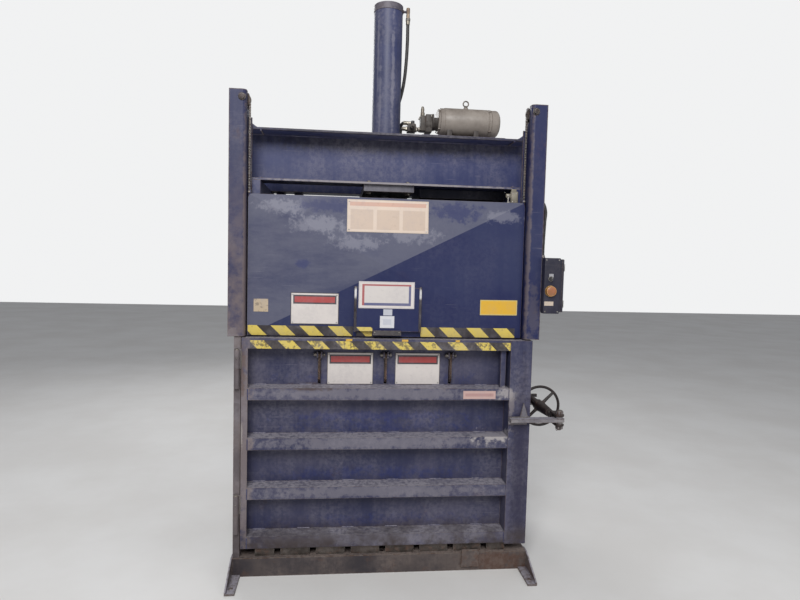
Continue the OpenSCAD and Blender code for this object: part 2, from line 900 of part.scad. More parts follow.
// Straight run of chain: two rows of plates joined by the rollers and pins
module chain_run(x, z0, z1) {
    links = floor((z1 - z0 - 8) / chain_pitch);
    for (y = [chain_y - link_half, chain_y + link_half - link_t])
        block([x - plate_h / 2, x + plate_h / 2], [y, y + link_t], [z0, z1]);
    for (i = [0 : links])
        rod_y([x, chain_y - pin_half, z0 + 5 + i * chain_pitch], roller_r, 2 * pin_half);
}

module lifting_chains() {
    color([0.22, 0.20, 0.20])
        both_sides()
            chain_run(chain_x - chain_r, lug_top, chain_z);
}

module weight_chains() {
    color([0.22, 0.20, 0.20])
        both_sides()
            chain_run(chain_x + chain_r, weight_top - gate_travel - 20, chain_z);
}

// The part of each chain that lies over its wheel
module chain_wraps() {
    color([0.22, 0.20, 0.20])
        both_sides() {
            for (y = [chain_y - link_half, chain_y + link_half - link_t])
                difference() {
                    rod_y([chain_x, y, chain_z], chain_r + plate_h / 2, link_t);
                    rod_y([chain_x, y - 1, chain_z], chain_r - plate_h / 2, link_t + 2);
                    block([chain_x - 60, chain_x + 60], [y - 1, y + link_t + 1], [chain_z - 60, chain_z]);
                }
            for (a = [12 : 26 : 168])
                rod_y([chain_x + chain_r * cos(a), chain_y - pin_half, chain_z + chain_r * sin(a)],
                    roller_r, 2 * pin_half);
        }
}

// Steel bar that hangs on the outer run of the chain and slides inside the guide
module counterweight() {
    x = chain_x + chain_r;
    y = face_y + guide_d / 2;
    difference() {
        block([x - weight_w / 2, x + weight_w / 2], [y - weight_d / 2, y + weight_d / 2],
            [weight_top - weight_len, weight_top]);
        block([x - 12, x + 12], [chain_y - 15, chain_y + 15],
            [weight_top - weight_len - 1, weight_top + 1]);
    }
}

module left_counterweight() {
    color([0.35, 0.30, 0.28])
        mirror([1, 0, 0])
            counterweight();
}

module right_counterweight() {
    color([0.35, 0.30, 0.28])
        counterweight();
}

// Feed gate

// Shallow four-sided pyramid of one plate thickness
module gate_plate() {
    x = gate_out;
    z0 = gate_z;
    z1 = gate_top;
    mid = (gate_z + gate_top) / 2;
    tip = rim_y - gate_bulge;
    polyhedron([
        [-x, rim_y, z0], [x, rim_y, z0], [x, rim_y, z1], [-x, rim_y, z1], [0, tip, mid],
        [-x, rim_y + gate_t, z0], [x, rim_y + gate_t, z0], [x, rim_y + gate_t, z1],
        [-x, rim_y + gate_t, z1], [0, tip + gate_t, mid]],
        [[0, 4, 1], [1, 4, 2], [2, 4, 3], [3, 4, 0], [5, 6, 9], [6, 7, 9], [7, 8, 9], [8, 5, 9],
        [0, 1, 6, 5], [1, 2, 7, 6], [2, 3, 8, 7], [3, 0, 5, 8]]);
}

// Quarter-round cutter for the gate's top corners
module corner_cutter() {
    r = 26;
    difference() {
        block([gate_out - r, gate_out + 1], [rim_y - 60, rim_y + fold_d + 1],
            [gate_top - r, gate_top + 1]);
        rod_y([gate_out - r, rim_y - 61, gate_top - r], r, fold_d + 64);
    }
}

function facet_y(z) = rim_y - gate_bulge * (z - gate_z) / (gate_h / 2);

module gate_panel() {
    panel_top = gate_z + 296;
    panel_low = gate_z + 36;
    color([0.25, 0.28, 0.44]) {
        difference() {
            union() {
                gate_plate();
                block([-gate_out, gate_out], [rim_y, rim_y + fold_d], [gate_z, gate_z + gate_t]);
                block([-gate_out, gate_out], [rim_y, rim_y + top_fold_d], [gate_top - gate_t, gate_top]);
                both_sides()
                    block([gate_out - gate_t, gate_out], [rim_y, rim_y + fold_d], [gate_z, gate_top]);
            }
            both_sides()
                corner_cutter();
        }
        side_plate(-187, 374, [[facet_y(panel_top) - 2, panel_low], [facet_y(panel_low) + 2, panel_low],
            [facet_y(panel_top) + 2, panel_top], [facet_y(panel_top) - 2, panel_top]]);
        both_sides() {
            side_plate(187, 12, [[facet_y(panel_top) - 5, panel_low - 4],
                [facet_y(panel_low) + 2, panel_low - 4],
                [facet_y(panel_top) + 2, panel_top + 4], [facet_y(panel_top) - 5, panel_top + 4]]);
            block([gate_out - 16, gate_out], [chain_y - 11, chain_y + 11], [gate_top - 110, lug_top]);
        }
    }
}

// Folded ledge along the bottom that lifts the gate by hand
module gate_grip() {
    z = gate_z + 14;
    color([0.20, 0.20, 0.24])
        side_plate(-88, 168, [[facet_y(z), z], [face_y + 4, z], [face_y + 4, z + 28],
            [face_y + 8, z + 28],
            [face_y + 8, z + 4], [facet_y(z + 4), z + 4]]);
}

// Four shoes that grip the guide bars
module gate_shoes() {
    rail_in = guide_in - rail_w;
    x0 = rail_in - slide_gap - shoe_t;
    y0 = rim_y + fold_d;
    lip_y = rail_y + rail_t + slide_gap;
    color([0.16, 0.16, 0.17])
        both_sides()
            for (z = [gate_z + 40, gate_top - shoe_h - 60]) {
                block([x0, gate_out], [y0, rail_y - slide_gap], [z, z + shoe_h]);
                block([x0, x0 + shoe_t], [y0, lip_y + shoe_t], [z, z + shoe_h]);
                block([x0, gate_out], [lip_y, lip_y + shoe_t], [z, z + shoe_h]);
            }
}

// Cross beams and press

// Beam with its web next to the tank and its flanges pointing outwards
module cross_beam(flange_y, web_y) {
    y0 = min(flange_y, web_y);
    y1 = max(flange_y, web_y + beam_t);
    difference() {
        union() {
            block([-beam_len / 2, beam_len / 2], [web_y, web_y + beam_t], [beam_z, beam_top]);
            for (z = [beam_z, beam_top - beam_t])
                block([-beam_len / 2, beam_len / 2], [y0, y1], [z, z + beam_t]);
        }
        for (x = [-bolt_x, bolt_x])
            rod_z([x, (y0 + y1) / 2, beam_z - 1], bolt_r, beam_t + 2);
    }
}

module front_beam() {
    color([0.27, 0.30, 0.46]) {
        cross_beam(column_y, front_web_y);
        both_sides()
            front_plate(column_y, 10, [[guide_in - 45, beam_top - 1], [guide_out - 8, beam_top - 1],
                [guide_out - 8, gusset_top], [guide_in + 30, gusset_top]]);
    }
}

module rear_beam() {
    color([0.20, 0.22, 0.36])
        cross_beam(rear_flange_y, rear_web_y);
}

function bolt_y(i) = i == 0 ? (column_y + front_web_y + beam_t) / 2 : (rear_web_y + rear_flange_y) / 2;

// Thick plate bolted under both beams; the cylinder passes through it
module cylinder_mount() {
    color([0.22, 0.24, 0.36])
        difference() {
            block([-mount_w / 2, mount_w / 2], [column_y + 24, rear_flange_y - 24],
                [beam_z - mount_t, beam_z]);
            rod_z([0, chamber_mid, beam_z - mount_t - 1], barrel_r + 0.3, mount_t + 2, $fn = 96);
            for (x = [-bolt_x, bolt_x], i = [0, 1])
                rod_z([x, bolt_y(i), beam_z - mount_t - 1], bolt_r, mount_t + 2);
        }
}

module mount_bolts() {
    color([0.50, 0.47, 0.44])
        for (x = [-bolt_x, bolt_x], i = [0, 1]) {
            rod_z([x, bolt_y(i), beam_z - mount_t], bolt_r, mount_t + beam_t + 16);
            hex_z([x, bolt_y(i), beam_z - mount_t - 13], 32, 13);
            hex_z([x, bolt_y(i), beam_z + beam_t], 32, 14);
        }
}

module cylinder_barrel() {
    low = beam_z - mount_t;
    color([0.27, 0.30, 0.45]) {
        difference() {
            union() {
                rod_z([0, chamber_mid, low], barrel_r, barrel_top - low, $fn = 96);
                rod_z([0, chamber_mid, beam_z], barrel_r + 22, 20, $fn = 96);
                rod_x([barrel_r - 8, chamber_mid, low_port_z], 20, 22);
            }
            rod_z([0, chamber_mid, low + gland_t], bore_r, barrel_top - low, $fn = 96);
            rod_z([0, chamber_mid, low - 1], rod_r + running_fit, gland_t + 2);
        }
    }
}

// Cap on top of the cylinder with the elbow of the upper hose
module cylinder_cap() {
    color([0.25, 0.27, 0.40]) {
        rod_z([0, chamber_mid, barrel_top], cap_r, cap_t, $fn = 96);
        rod_x([cap_r - 5, chamber_mid, top_port_z], 8, hose_x - cap_r + 5);
        rod_z([hose_x, chamber_mid, top_port_z - elbow_drop + 16], 12, elbow_drop + 10);
        hex_z([hose_x, chamber_mid, top_port_z - elbow_drop], 30, 17);
    }
}

module piston_rod() {
    color([0.80, 0.80, 0.82]) {
        rod_z([0, chamber_mid, socket_top], rod_r, piston_top - piston_t - socket_top + 1);
        rod_z([0, chamber_mid, piston_top - piston_t], bore_r - 0.3, piston_t, $fn = 96);
    }
}

// Ram plate: grooved face, ribs above it and a socket for the rod
module platen() {
    color([0.30, 0.27, 0.27])
        difference() {
            union() {
                block([-platen_x, platen_x], [platen_y0, platen_y1], [platen_z, platen_z + platen_t]);
                for (y = [platen_y0 + 62, chamber_mid - 130, chamber_mid + 120, platen_y1 - 12])
                    block([-platen_x, platen_x], [y, y + 10], [platen_z + platen_t - 1, platen_top]);
                for (x = [-platen_x, -500, -260, 250, 490, platen_x - 10])
                    block([x, x + 10], [platen_y0 + 62, platen_y1],
                        [platen_z + platen_t - 1, platen_top]);
                block([-150, 150], [chamber_mid - 121, chamber_mid + 121],
                    [socket_top - 30, socket_top - 12]);
                rod_z([0, chamber_mid, platen_z + platen_t - 1], socket_r,
                    socket_top - platen_z - platen_t + 1);
            }
            for (i = [0 : slot_n - 1])
                translate([(i - (slot_n - 1) / 2) * slot_pitch, 0, 0])
                    block([-slot_w / 2, slot_w / 2], [platen_y0 - 1, platen_y1 + 1],
                        [platen_z - 1, platen_z + 12]);
            for (i = [0 : dog_n - 1])
                block([dog_x(i) - notch_w / 2, dog_x(i) + notch_w / 2],
                    [platen_y0 - 1, platen_y0 + notch_d],
                    [platen_z - 1, platen_top + 1]);
        }
}

// Power unit

// Oil tank between the beams, hung on four brackets, with a filler neck and a drain hole
module oil_tank() {
    color([0.18, 0.19, 0.26]) {
        difference() {
            union() {
                block([tank_x, tank_x + tank_w], [tank_y0, tank_y1], [tank_z, tank_z + tank_h]);
                for (x = [tank_x + 30, tank_x + tank_w - 80])
                    for (y = [[front_web_y - 30, tank_y0 + 1], [tank_y1 - 1, rear_web_y + beam_t + 30]])
                        block([x, x + 50], y, [beam_top, beam_top + 10]);
            }
            block([tank_x + tank_t, tank_x + tank_w - tank_t], [tank_y0 + tank_t, tank_y1 - tank_t],
                [tank_z + tank_t, tank_z + tank_h - tank_t]);
            rod_z([tank_x + 60, tank_y0 + 60, tank_z - 1], 9, tank_t + 2);
        }
        rod_z([tank_x + tank_w - 70, tank_y1 - 44, tank_z + tank_h - 1], 24, 22);
        rod_z([tank_x + tank_w - 70, tank_y1 - 44, tank_z + tank_h + 20], 33, 16);
    }
}

module motor_shell() {
    color([0.64, 0.62, 0.58])
        difference() {
            union() {
                rod_x([motor_x, unit_y, motor_z], motor_r - 10, 14, $fn = 96);
                rod_x([motor_x + 12, unit_y, motor_z], motor_r - 3, 34, $fn = 96);
                rod_x([motor_x + 44, unit_y, motor_z], motor_r, motor_len - 44, $fn = 96);
                rod_z([eye_x, unit_y, motor_z + motor_r - 14], 17, 20);
                block([motor_x + 130, motor_x + 230], [unit_y + 60, unit_y + motor_r + 34],
                    [motor_z - 46, motor_z + 46]);
            }
            rod_x([motor_x - 1, unit_y, motor_z], shaft_r + running_fit, 61);
        }
}

module motor_fan_cover() {
    color([0.60, 0.58, 0.55])
        difference() {
            union() {
                rod_x([motor_x + motor_len, unit_y, motor_z], motor_r - 2, fan_len - 16, $fn = 96);
                rod_x([motor_x + motor_len, unit_y, motor_z], motor_r - 12, fan_len, $fn = 96);
            }
            for (r = [24, 40, 56])
                for (a = [0 : 45 : 315])
                    rod_x([motor_x + motor_len + fan_len - 12, unit_y + r * cos(a + r),
                        motor_z + r * sin(a + r)], 5, 14);
        }
}

// Base plate with two saddles under the motor
module motor_mount() {
    color([0.20, 0.20, 0.25])
        difference() {
            union() {
                block([motor_x + 40, motor_x + 290], [unit_y - 88, unit_y + 88],
                    [tank_z + tank_h, tank_z + tank_h + 10]);
                for (x = [motor_x + 60, motor_x + 240])
                    block([x, x + 34], [unit_y - 66, unit_y + 66], [tank_z + tank_h + 9, motor_z - 50]);
            }
            rod_x([motor_x - 10, unit_y, motor_z], motor_r, motor_len, $fn = 96);
        }
}

module lifting_eye() {
    base = motor_z + motor_r + 6;
    color([0.45, 0.43, 0.41]) {
        rod_z([eye_x, unit_y, base], 14, 7);
        rod_z([eye_x, unit_y, base + 6], 9, 8);
        translate([eye_x, unit_y, base + 29])
            rotate([90, 0, 0])
                rotate_extrude()
                    translate([18, 0])
                        circle(r = 4.5, $fn = 24);
    }
}

// Coupling half on the motor's shaft
module motor_shaft() {
    color([0.55, 0.55, 0.56]) {
        rod_x([motor_x - adapter_gap + 2, unit_y, motor_z], shaft_r, adapter_gap + 54);
        rod_x([motor_x - adapter_gap + 3, unit_y, motor_z], 22, adapter_gap - 6);
    }
}

// Half ring between pump and motor, open over the coupling
module pump_adapter() {
    color([0.35, 0.34, 0.34])
        difference() {
            rod_x([motor_x - adapter_gap, unit_y, motor_z], 62, adapter_gap, $fn = 96);
            rod_x([motor_x - adapter_gap - 1, unit_y, motor_z], 42, adapter_gap + 2, $fn = 96);
            block([motor_x - adapter_gap - 1, motor_x + 1], [unit_y - 63, unit_y + 63],
                [motor_z + 12, motor_z + 63]);
        }
}

module pump() {
    x1 = motor_x - adapter_gap;
    color([0.40, 0.39, 0.38]) {
        difference() {
            rod_x([x1 - 12, unit_y, motor_z], 62, 12, $fn = 96);
            block([x1 - 13, x1 + 1], [unit_y - 63, unit_y + 63], [motor_z + 38, motor_z + 63]);
        }
        block([pump_x, pump_x + cover_len + 1], [unit_y - pump_r + 14, unit_y + pump_r - 14],
            [motor_z - 72, motor_z + 28]);
        block([pump_x + cover_len, x1 - 11], [unit_y - pump_r + 6, unit_y + pump_r - 6],
            [motor_z - 80, motor_z + 38]);
        rod_x([pump_x + cover_len, unit_y, motor_z - 29], pump_r, x1 - 11 - pump_x - cover_len);
        rod_x([manifold_x + manifold_w, unit_y, motor_z - 58], 13, pump_x - manifold_x - manifold_w + 1);
        for (a = [30, 150, 225, 315])
            rod_x([x1 - 20, unit_y + 50 * cos(a), motor_z + 50 * sin(a)], 7, 10);
    }
}

module relief_valve() {
    color([0.62, 0.60, 0.55]) {
        hex_z([pump_x + 16, unit_y, motor_z + 28], 30, 26);
        rod_z([pump_x + 16, unit_y, motor_z + 53], 12, 28);
        hex_z([pump_x + 16, unit_y, motor_z + 80], 18, 14);
    }
}

module valve_manifold() {
    x1 = manifold_x + manifold_w;
    color([0.30, 0.29, 0.31]) {
        block([manifold_x, x1], [unit_y - 42, unit_y + 34], [manifold_z, manifold_z + manifold_h]);
        rod_y([manifold_x + 28, unit_y - 102, manifold_z + 24], 16, 61);
        rod_y([manifold_x + 28, unit_y - 116, manifold_z + 24], 8, 15);
        rod_z([manifold_x + 28, unit_y, manifold_z + manifold_h - 1], 13, 27);
        rod_x([manifold_x - 4, unit_y, elbow_z], 12, 40);
        rod_x([manifold_x - 14, unit_y, manifold_z + 24], 14, 15);
    }
}

// From the elbow on the manifold round the back of the cylinder and up to the cap
module upper_hose() {
    x = manifold_x - 4;
    z = elbow_z;
    top = top_port_z - elbow_drop;
    back = chamber_mid + barrel_r + hose_d + 14;
    side = barrel_r + hose_d / 2;
    color([0.07, 0.07, 0.08])
        tube_along([[x, unit_y, z], [x - 10, unit_y, z], [x - 20, unit_y, z],
            [side, unit_y + 18, z - 16], [side - 20, unit_y + 44, z - 38], [side - 44, back - 6, z - 52],
            [side - 66, back + 6, z - 38], [side - 74, back + 6, z - 8], [side - 66, back, z + 36],
            [side - 42, back - 22, z + 82], [side - 18, back - 54, z + 130], [side, back - 86, z + 196],
            [side + 12, chamber_mid + 19, z + 276], [hose_x - 4, chamber_mid + 5, z + 0.6 * (top - z)],
            [hose_x, chamber_mid, z + 0.8 * (top - z)], [hose_x, chamber_mid, z + 0.9 * (top - z)],
            [hose_x, chamber_mid, top]], hose_d / 2, [0, 1, 0], 4, 12);
}

module lower_hose() {
    x = manifold_x - 14;
    z = manifold_z + manifold_h / 2;
    drop = z - low_port_z;
    port_x = barrel_r + 26;
    color([0.07, 0.07, 0.08])
        tube_along([[x, unit_y, z], [x - 10, unit_y, z], [x - 20, unit_y, z],
            [x - 30, unit_y + 6, z - 0.1 * drop], [hose_x, unit_y - 20, z - 0.6 * drop],
            [port_x + 6, chamber_mid, low_port_z + 60], [port_x, chamber_mid, low_port_z]],
            hose_d / 2, [0, 1, 0], 4, 12);
}

// Controls

module control_box() {
    t = 3;
    color([0.30, 0.31, 0.38])
        difference() {
            block([guide_out, guide_out + box_w], [face_y, face_y + box_d], [box_z, box_z + box_h]);
            block([guide_out + t, guide_out + box_w - t], [face_y + t, face_y + box_d - t],
                [box_z + t, box_z + box_h - t]);
            block([guide_out + 12, guide_out + cover_w - 12], [face_y - 1, face_y + t + 1],
                [box_z + 12, box_z + box_h - 12]);
        }
}

module control_cover() {
    t = 3;
    color([0.58, 0.57, 0.58])
        difference() {
            union() {
                difference() {
                    block([guide_out, guide_out + cover_w], [cover_y, face_y],
                        [cover_z, cover_z + cover_h]);
                    block([guide_out + t, guide_out + cover_w - t], [cover_y + t, face_y + 1],
                        [cover_z + t, cover_z + cover_h - t]);
                }
                rod_y([stop_x, cover_y - 4, stop_z], stop_r + 3, 5);
                rod_y([stop_x, cover_y, stop_z], 20, 22);
                rod_y([stop_x, cover_y - 3, knob_z], 16, 4);
                rod_y([stop_x, cover_y, knob_z], 14, 20);
            }
            rod_y([stop_x, cover_y - 5, stop_z], stem_r + running_fit, 28);
            rod_y([stop_x, cover_y - 4, knob_z], knob_stem_r + running_fit, 25);
        }
}

module stop_button() {
    color([0.55, 0.20, 0.08]) {
        rod_y([stop_x, cover_y - 5 - stop_travel - 16, stop_z], stop_r, 14);
        rod_y([stop_x, cover_y - 5 - stop_travel - 4, stop_z], 15, 3);
        rod_y([stop_x, cover_y - 5 - stop_travel - 3, stop_z], stem_r, stop_travel + 25);
    }
}

module selector_knob() {
    color([0.08, 0.08, 0.09]) {
        rod_y([stop_x, cover_y - 14, knob_z], 13, 10.5);
        block([stop_x - 5, stop_x + 5], [cover_y - 24, cover_y - 13], [knob_z - 13, knob_z + 13]);
        rod_y([stop_x, cover_y - 5, knob_z], knob_stem_r, 24);
    }
}

// Flexible conduit from the control box up to the right column
module conduit() {
    y = face_y + 58;
    x = guide_out + 22;
    z = box_z + box_h;
    rise = beam_z - 37 - z;
    wall_y = column_y + column_d / 2;
    color([0.14, 0.14, 0.15])
        tube_along([[x, y, z], [x, y, z + 0.1 * rise], [x, y, z + 0.2 * rise], [x + 4, y, z + 0.57 * rise],
            [x + 12, y + 18, z + 0.77 * rise], [x, column_y, z + 0.93 * rise],
            [body_out + 40, wall_y, z + rise], [body_out + 20, wall_y, z + rise],
            [body_out, wall_y, z + rise]], 10, [0, 0.6, -0.8], 4, 12);
}

module limit_switch() {
    color([0.60, 0.58, 0.52])
        difference() {
            union() {
                block([switch_x, switch_x + switch_w], [column_y - 24, column_y],
                    [switch_z, switch_z + switch_h]);
                block([switch_x + 6, switch_x + switch_w - 6], [column_y - 8, column_y + 8],
                    [switch_z + switch_h - 1, beam_z]);
                block([lever_x - 12, switch_x + 1], [column_y - 12, column_y - 1],
                    [lever_z - 12, lever_z + 12]);
            }
            rod_y([lever_x, column_y - 13, lever_z], lever_pin_r + running_fit, 14);
            block([half_w - 1, body_out], [column_y, column_y + 10], [switch_z, beam_z + 1]);
        }
}

// Roller lever that the gate trips when it is shut
module switch_lever() {
    color([0.70, 0.69, 0.66]) {
        rod_y([lever_x, column_y - 22, lever_z], lever_pin_r, 20);
        rod_y([lever_x, column_y - 22, lever_z], 9, 8);
        block([lever_x - 4, lever_x + 4], [column_y - 20, column_y - 15], [lever_z - 44, lever_z]);
        rod_y([lever_x, column_y - 24, lever_z - 44], 9, 10);
    }
}

front_sill();
rear_sill();
floor_bearers();
chamber_floor();
front_feet();
rear_feet();
left_wall();
right_wall();
back_wall();
hinge_post();
left_guide();
right_guide();
front_beam();
rear_beam();
cylinder_mount();
mount_bolts();
cylinder_barrel();
cylinder_cap();
oil_tank();
motor_shell();
motor_fan_cover();
motor_mount();
lifting_eye();
pump();
pump_adapter();
relief_valve();
valve_manifold();
upper_hose();
lower_hose();
control_box();
control_cover();
conduit();
limit_switch();
wheel_axles();
lifting_chains();
weight_chains();
chain_wraps();
latch_keeper();
platen();
piston_rod();
gate_panel();
gate_grip();
gate_shoes();
left_chain_wheel();
right_chain_wheel();
left_counterweight();
right_counterweight();
bale_door();
door_knuckles();
latch_bracket();
dog_pins();
left_dog();
middle_dog();
right_dog();
latch_fork();
handwheel();
stop_button();
selector_knob();
switch_lever();
motor_shaft();
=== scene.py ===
"""Vertical baler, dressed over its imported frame: paint, tape, plates, chains, hoses and fittings."""

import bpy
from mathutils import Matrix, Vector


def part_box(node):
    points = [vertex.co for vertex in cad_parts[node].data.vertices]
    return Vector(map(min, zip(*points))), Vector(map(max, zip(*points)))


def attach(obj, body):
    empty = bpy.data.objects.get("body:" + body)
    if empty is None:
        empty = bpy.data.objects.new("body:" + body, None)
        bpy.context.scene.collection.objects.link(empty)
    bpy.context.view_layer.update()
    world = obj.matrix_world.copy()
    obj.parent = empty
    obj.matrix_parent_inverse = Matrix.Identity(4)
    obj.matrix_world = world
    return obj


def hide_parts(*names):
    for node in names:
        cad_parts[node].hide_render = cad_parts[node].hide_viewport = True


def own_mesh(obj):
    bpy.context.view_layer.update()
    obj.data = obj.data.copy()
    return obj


bl_info = {
    "name": "Vertical Baler",
    "version": (1, 0, 0),
    "blender": (4, 5, 0),
    "location": "View3D > Sidebar > Baler",
    "description": "Dresses the frame of a vertical baler with its finishes and small parts",
    "category": "Add Mesh",
}

import math

import bpy
from mathutils import Matrix, Vector

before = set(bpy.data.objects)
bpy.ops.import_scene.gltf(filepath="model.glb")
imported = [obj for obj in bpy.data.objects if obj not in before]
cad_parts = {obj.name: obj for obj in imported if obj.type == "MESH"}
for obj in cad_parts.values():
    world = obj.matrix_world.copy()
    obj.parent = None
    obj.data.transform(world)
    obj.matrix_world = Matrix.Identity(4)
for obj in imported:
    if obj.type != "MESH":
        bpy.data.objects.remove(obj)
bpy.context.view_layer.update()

X = Vector((1, 0, 0))
Y = Vector((0, 1, 0))
Z = Vector((0, 0, 1))
MM = 0.001


def middle(node, axis):
    """Middle of a node along one axis."""
    low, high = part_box(node)
    return (low[axis] + high[axis]) / 2


def near(x, y, z):
    """Returns a function that gives places by their distance from this point, in millimetres."""
    def spot(right=0.0, back=0.0, up=0.0):
        return (x + right * MM, y + back * MM, z + up * MM)
    return spot


def polar(radius, degrees):
    """The two offsets of a point on a circle."""
    angle = math.radians(degrees)
    return radius * math.cos(angle), radius * math.sin(angle)


# Places that the pieces share with the frame, in metres
DOOR_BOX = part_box("bale_door")
FACE_Y = DOOR_BOX[0][1] + 0.006
SKIN_Y = FACE_Y + 0.108
DOOR_TOP = DOOR_BOX[1][2]
RIB_BOTTOMS = [DOOR_BOX[0][2] + 0.006 + 0.297 * i for i in range(4)]
RIB_HEIGHT = 0.072
RIB_LEFT, RIB_RIGHT = -0.838, 0.750
DOG_X, DOG_PIN_Z = (-0.4, 0.0, 0.4), 1.318
HINGE_X, HINGE_TOPS = -0.870, (0.494, 1.358)
GATE_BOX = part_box("gate_panel")
GATE_Z = GATE_BOX[0][2]
GATE_HALF = GATE_BOX[1][0]
GATE_HEIGHT = 0.824
RIM_Y = FACE_Y + 0.05
GUIDE_BACK = FACE_Y + 0.12
BEAM_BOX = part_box("front_beam")
BEAM_Z = BEAM_BOX[0][2]
BEAM_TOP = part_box("rear_beam")[1][2]
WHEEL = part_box("right_chain_wheel")
CHAIN_X, CHAIN_Y, CHAIN_Z = (middle("right_chain_wheel", axis) for axis in range(3))
CHAIN_R = 0.035
CHAIN_IN = CHAIN_X - CHAIN_R
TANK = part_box("oil_tank")
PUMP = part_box("pump")
FAN_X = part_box("motor_fan_cover")[0][0]
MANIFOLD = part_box("valve_manifold")
MOTOR_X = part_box("motor_shell")[0][0]
MOTOR_Y, MOTOR_Z = middle("motor_fan_cover", 1), middle("motor_fan_cover", 2)
EYE_X = 0.542
PRESS_Y = middle("cylinder_barrel", 1)
BARREL_R = 0.093
CAP_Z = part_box("cylinder_cap")[1][2] - 0.042
PORT_Z = CAP_Z + 0.016
LOW_PORT_Z = BEAM_Z + 0.060
HOSE_X = 0.128
COLUMN_X = 0.892
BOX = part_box("control_box")
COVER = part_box("control_cover")
BOX_GLAND = near(COVER[0][0] + 0.022, FACE_Y + 0.058, BOX[1][2])
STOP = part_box("stop_button")
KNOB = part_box("selector_knob")
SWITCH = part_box("limit_switch")
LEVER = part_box("switch_lever")


# Selecting and shaping

def deselect():
    if bpy.context.mode != "OBJECT":
        bpy.ops.object.mode_set(mode="OBJECT")
    bpy.ops.object.select_all(action="DESELECT")


def pick(*objects):
    deselect()
    for item in objects:
        item.select_set(True)
    bpy.context.view_layer.objects.active = objects[0]


def settle(obj):
    """Moves the object's place, turn and size into its mesh."""
    pick(obj)
    bpy.ops.object.transform_apply(location=True, rotation=True, scale=True)
    return obj


def made(name):
    """Names the primitive that was just added and settles it."""
    bpy.context.object.name = name
    return settle(bpy.context.object)


def aimed(at, direction):
    """Matrix that stands a piece's Z axis along a direction."""
    turn = Vector(direction).to_track_quat("Z", "Y").to_matrix().to_4x4()
    return Matrix.Translation(Vector(at)) @ turn


def stand(obj, at, direction):
    """Stands a piece at a place with its Z axis along a direction."""
    obj.matrix_world = aimed(at, direction)
    return settle(obj)


def shape(obj, kind="VERT"):
    """Opens the object in edit mode with all of it selected."""
    pick(obj)
    bpy.ops.object.mode_set(mode="EDIT")
    bpy.ops.mesh.select_mode(type=kind)
    bpy.ops.mesh.select_all(action="SELECT")


def shape_corners(obj, test):
    """Opens the object in edit mode with only the corners that pass a test selected."""
    shape(obj)
    bpy.ops.mesh.select_all(action="DESELECT")
    leave()
    for corner in obj.data.vertices:
        corner.select = test(corner.co)
    bpy.ops.object.mode_set(mode="EDIT")


def leave():
    bpy.ops.object.mode_set(mode="OBJECT")


def face_out(obj):
    """Merges doubles and points every face outwards."""
    shape(obj)
    bpy.ops.mesh.remove_doubles(threshold=0.01 * MM)
    bpy.ops.mesh.normals_make_consistent(inside=False)
    leave()
    return obj


def smooth(obj, degrees=35):
    pick(obj)
    bpy.ops.object.shade_smooth_by_angle(angle=math.radians(degrees))
    return obj


def soften(obj, width, segments=2, degrees=50):
    """Rounds the sharp edges of the object."""
    shape(obj, "EDGE")
    bpy.ops.mesh.select_all(action="DESELECT")
    bpy.ops.mesh.edges_select_sharp(sharpness=math.radians(degrees))
    bpy.ops.mesh.bevel(offset=width, segments=segments, affect="EDGES")
    leave()
    return obj


def modify(obj, kind, **settings):
    """Adds a modifier with these settings and applies it."""
    pick(obj)
    bpy.ops.object.modifier_add(type=kind)
    modifier = obj.modifiers[-1]
    for key, value in settings.items():
        setattr(modifier, key, value)
    bpy.ops.object.modifier_apply(modifier=modifier.name)
    return obj


def repeat(obj, count, step):
    """Row of a piece, each next one moved on by the step."""
    return modify(obj, "ARRAY", count=count, use_relative_offset=False, use_constant_offset=True,
                  constant_offset_displace=step)


def slab(name, low, high, edge=2.0, segments=2):
    """Plate or block between two corners, with its edges rounded by some millimetres."""
    low, high = Vector(low), Vector(high)
    deselect()
    bpy.ops.mesh.primitive_cube_add(size=1, location=(low + high) / 2, scale=high - low)
    return smooth(soften(made(name), edge * MM, segments))


def rod(name, start, end, radius, sides=32, edge=1.0, end_radius=None):
    """Round bar or cone from start to end, with its rims eased; radius and edge in millimetres."""
    start, end = Vector(start), Vector(end)
    turn = (end - start).to_track_quat("Z", "Y").to_euler()
    deselect()
    bpy.ops.mesh.primitive_cone_add(
        vertices=sides, radius1=radius * MM, radius2=(end_radius or radius) * MM,
        depth=(end - start).length, location=(start + end) / 2, rotation=turn)
    bar = made(name)
    if edge:
        soften(bar, edge * MM, 2, 60 if sides > 8 else 40)
    return smooth(bar)


def turned(name, profile, at, direction, sides=48):
    """Body turned on a lathe from rings of radius and height in millimetres, each extruded and sized from the last."""
    rings = [(radius * MM, height * MM) for radius, height in profile]
    deselect()
    bpy.ops.mesh.primitive_circle_add(
        vertices=sides, radius=rings[0][0], fill_type="NGON", location=(0, 0, rings[0][1]))
    body = made(name)
    shape(body, "FACE")
    for (r0, h0), (r1, h1) in zip(rings, rings[1:]):
        bpy.ops.mesh.extrude_region_move(TRANSFORM_OT_translate={"value": (0, 0, h1 - h0)})
        if r1 != r0:
            bpy.ops.transform.resize(value=(r1 / r0, r1 / r0, 1), center_override=(0, 0, h1))
    leave()
    return smooth(face_out(stand(body, at, direction)))


def ring(name, centre, direction, radius, bar, steps=48, sides=12):
    """Round bar bent into a ring; both radii in millimetres."""
    deselect()
    bpy.ops.mesh.primitive_torus_add(
        major_radius=radius * MM, minor_radius=bar * MM, major_segments=steps, minor_segments=sides,
        location=centre, rotation=Vector(direction).to_track_quat("Z", "Y").to_euler())
    made(name)
    bpy.ops.object.shade_smooth()
    return bpy.context.object


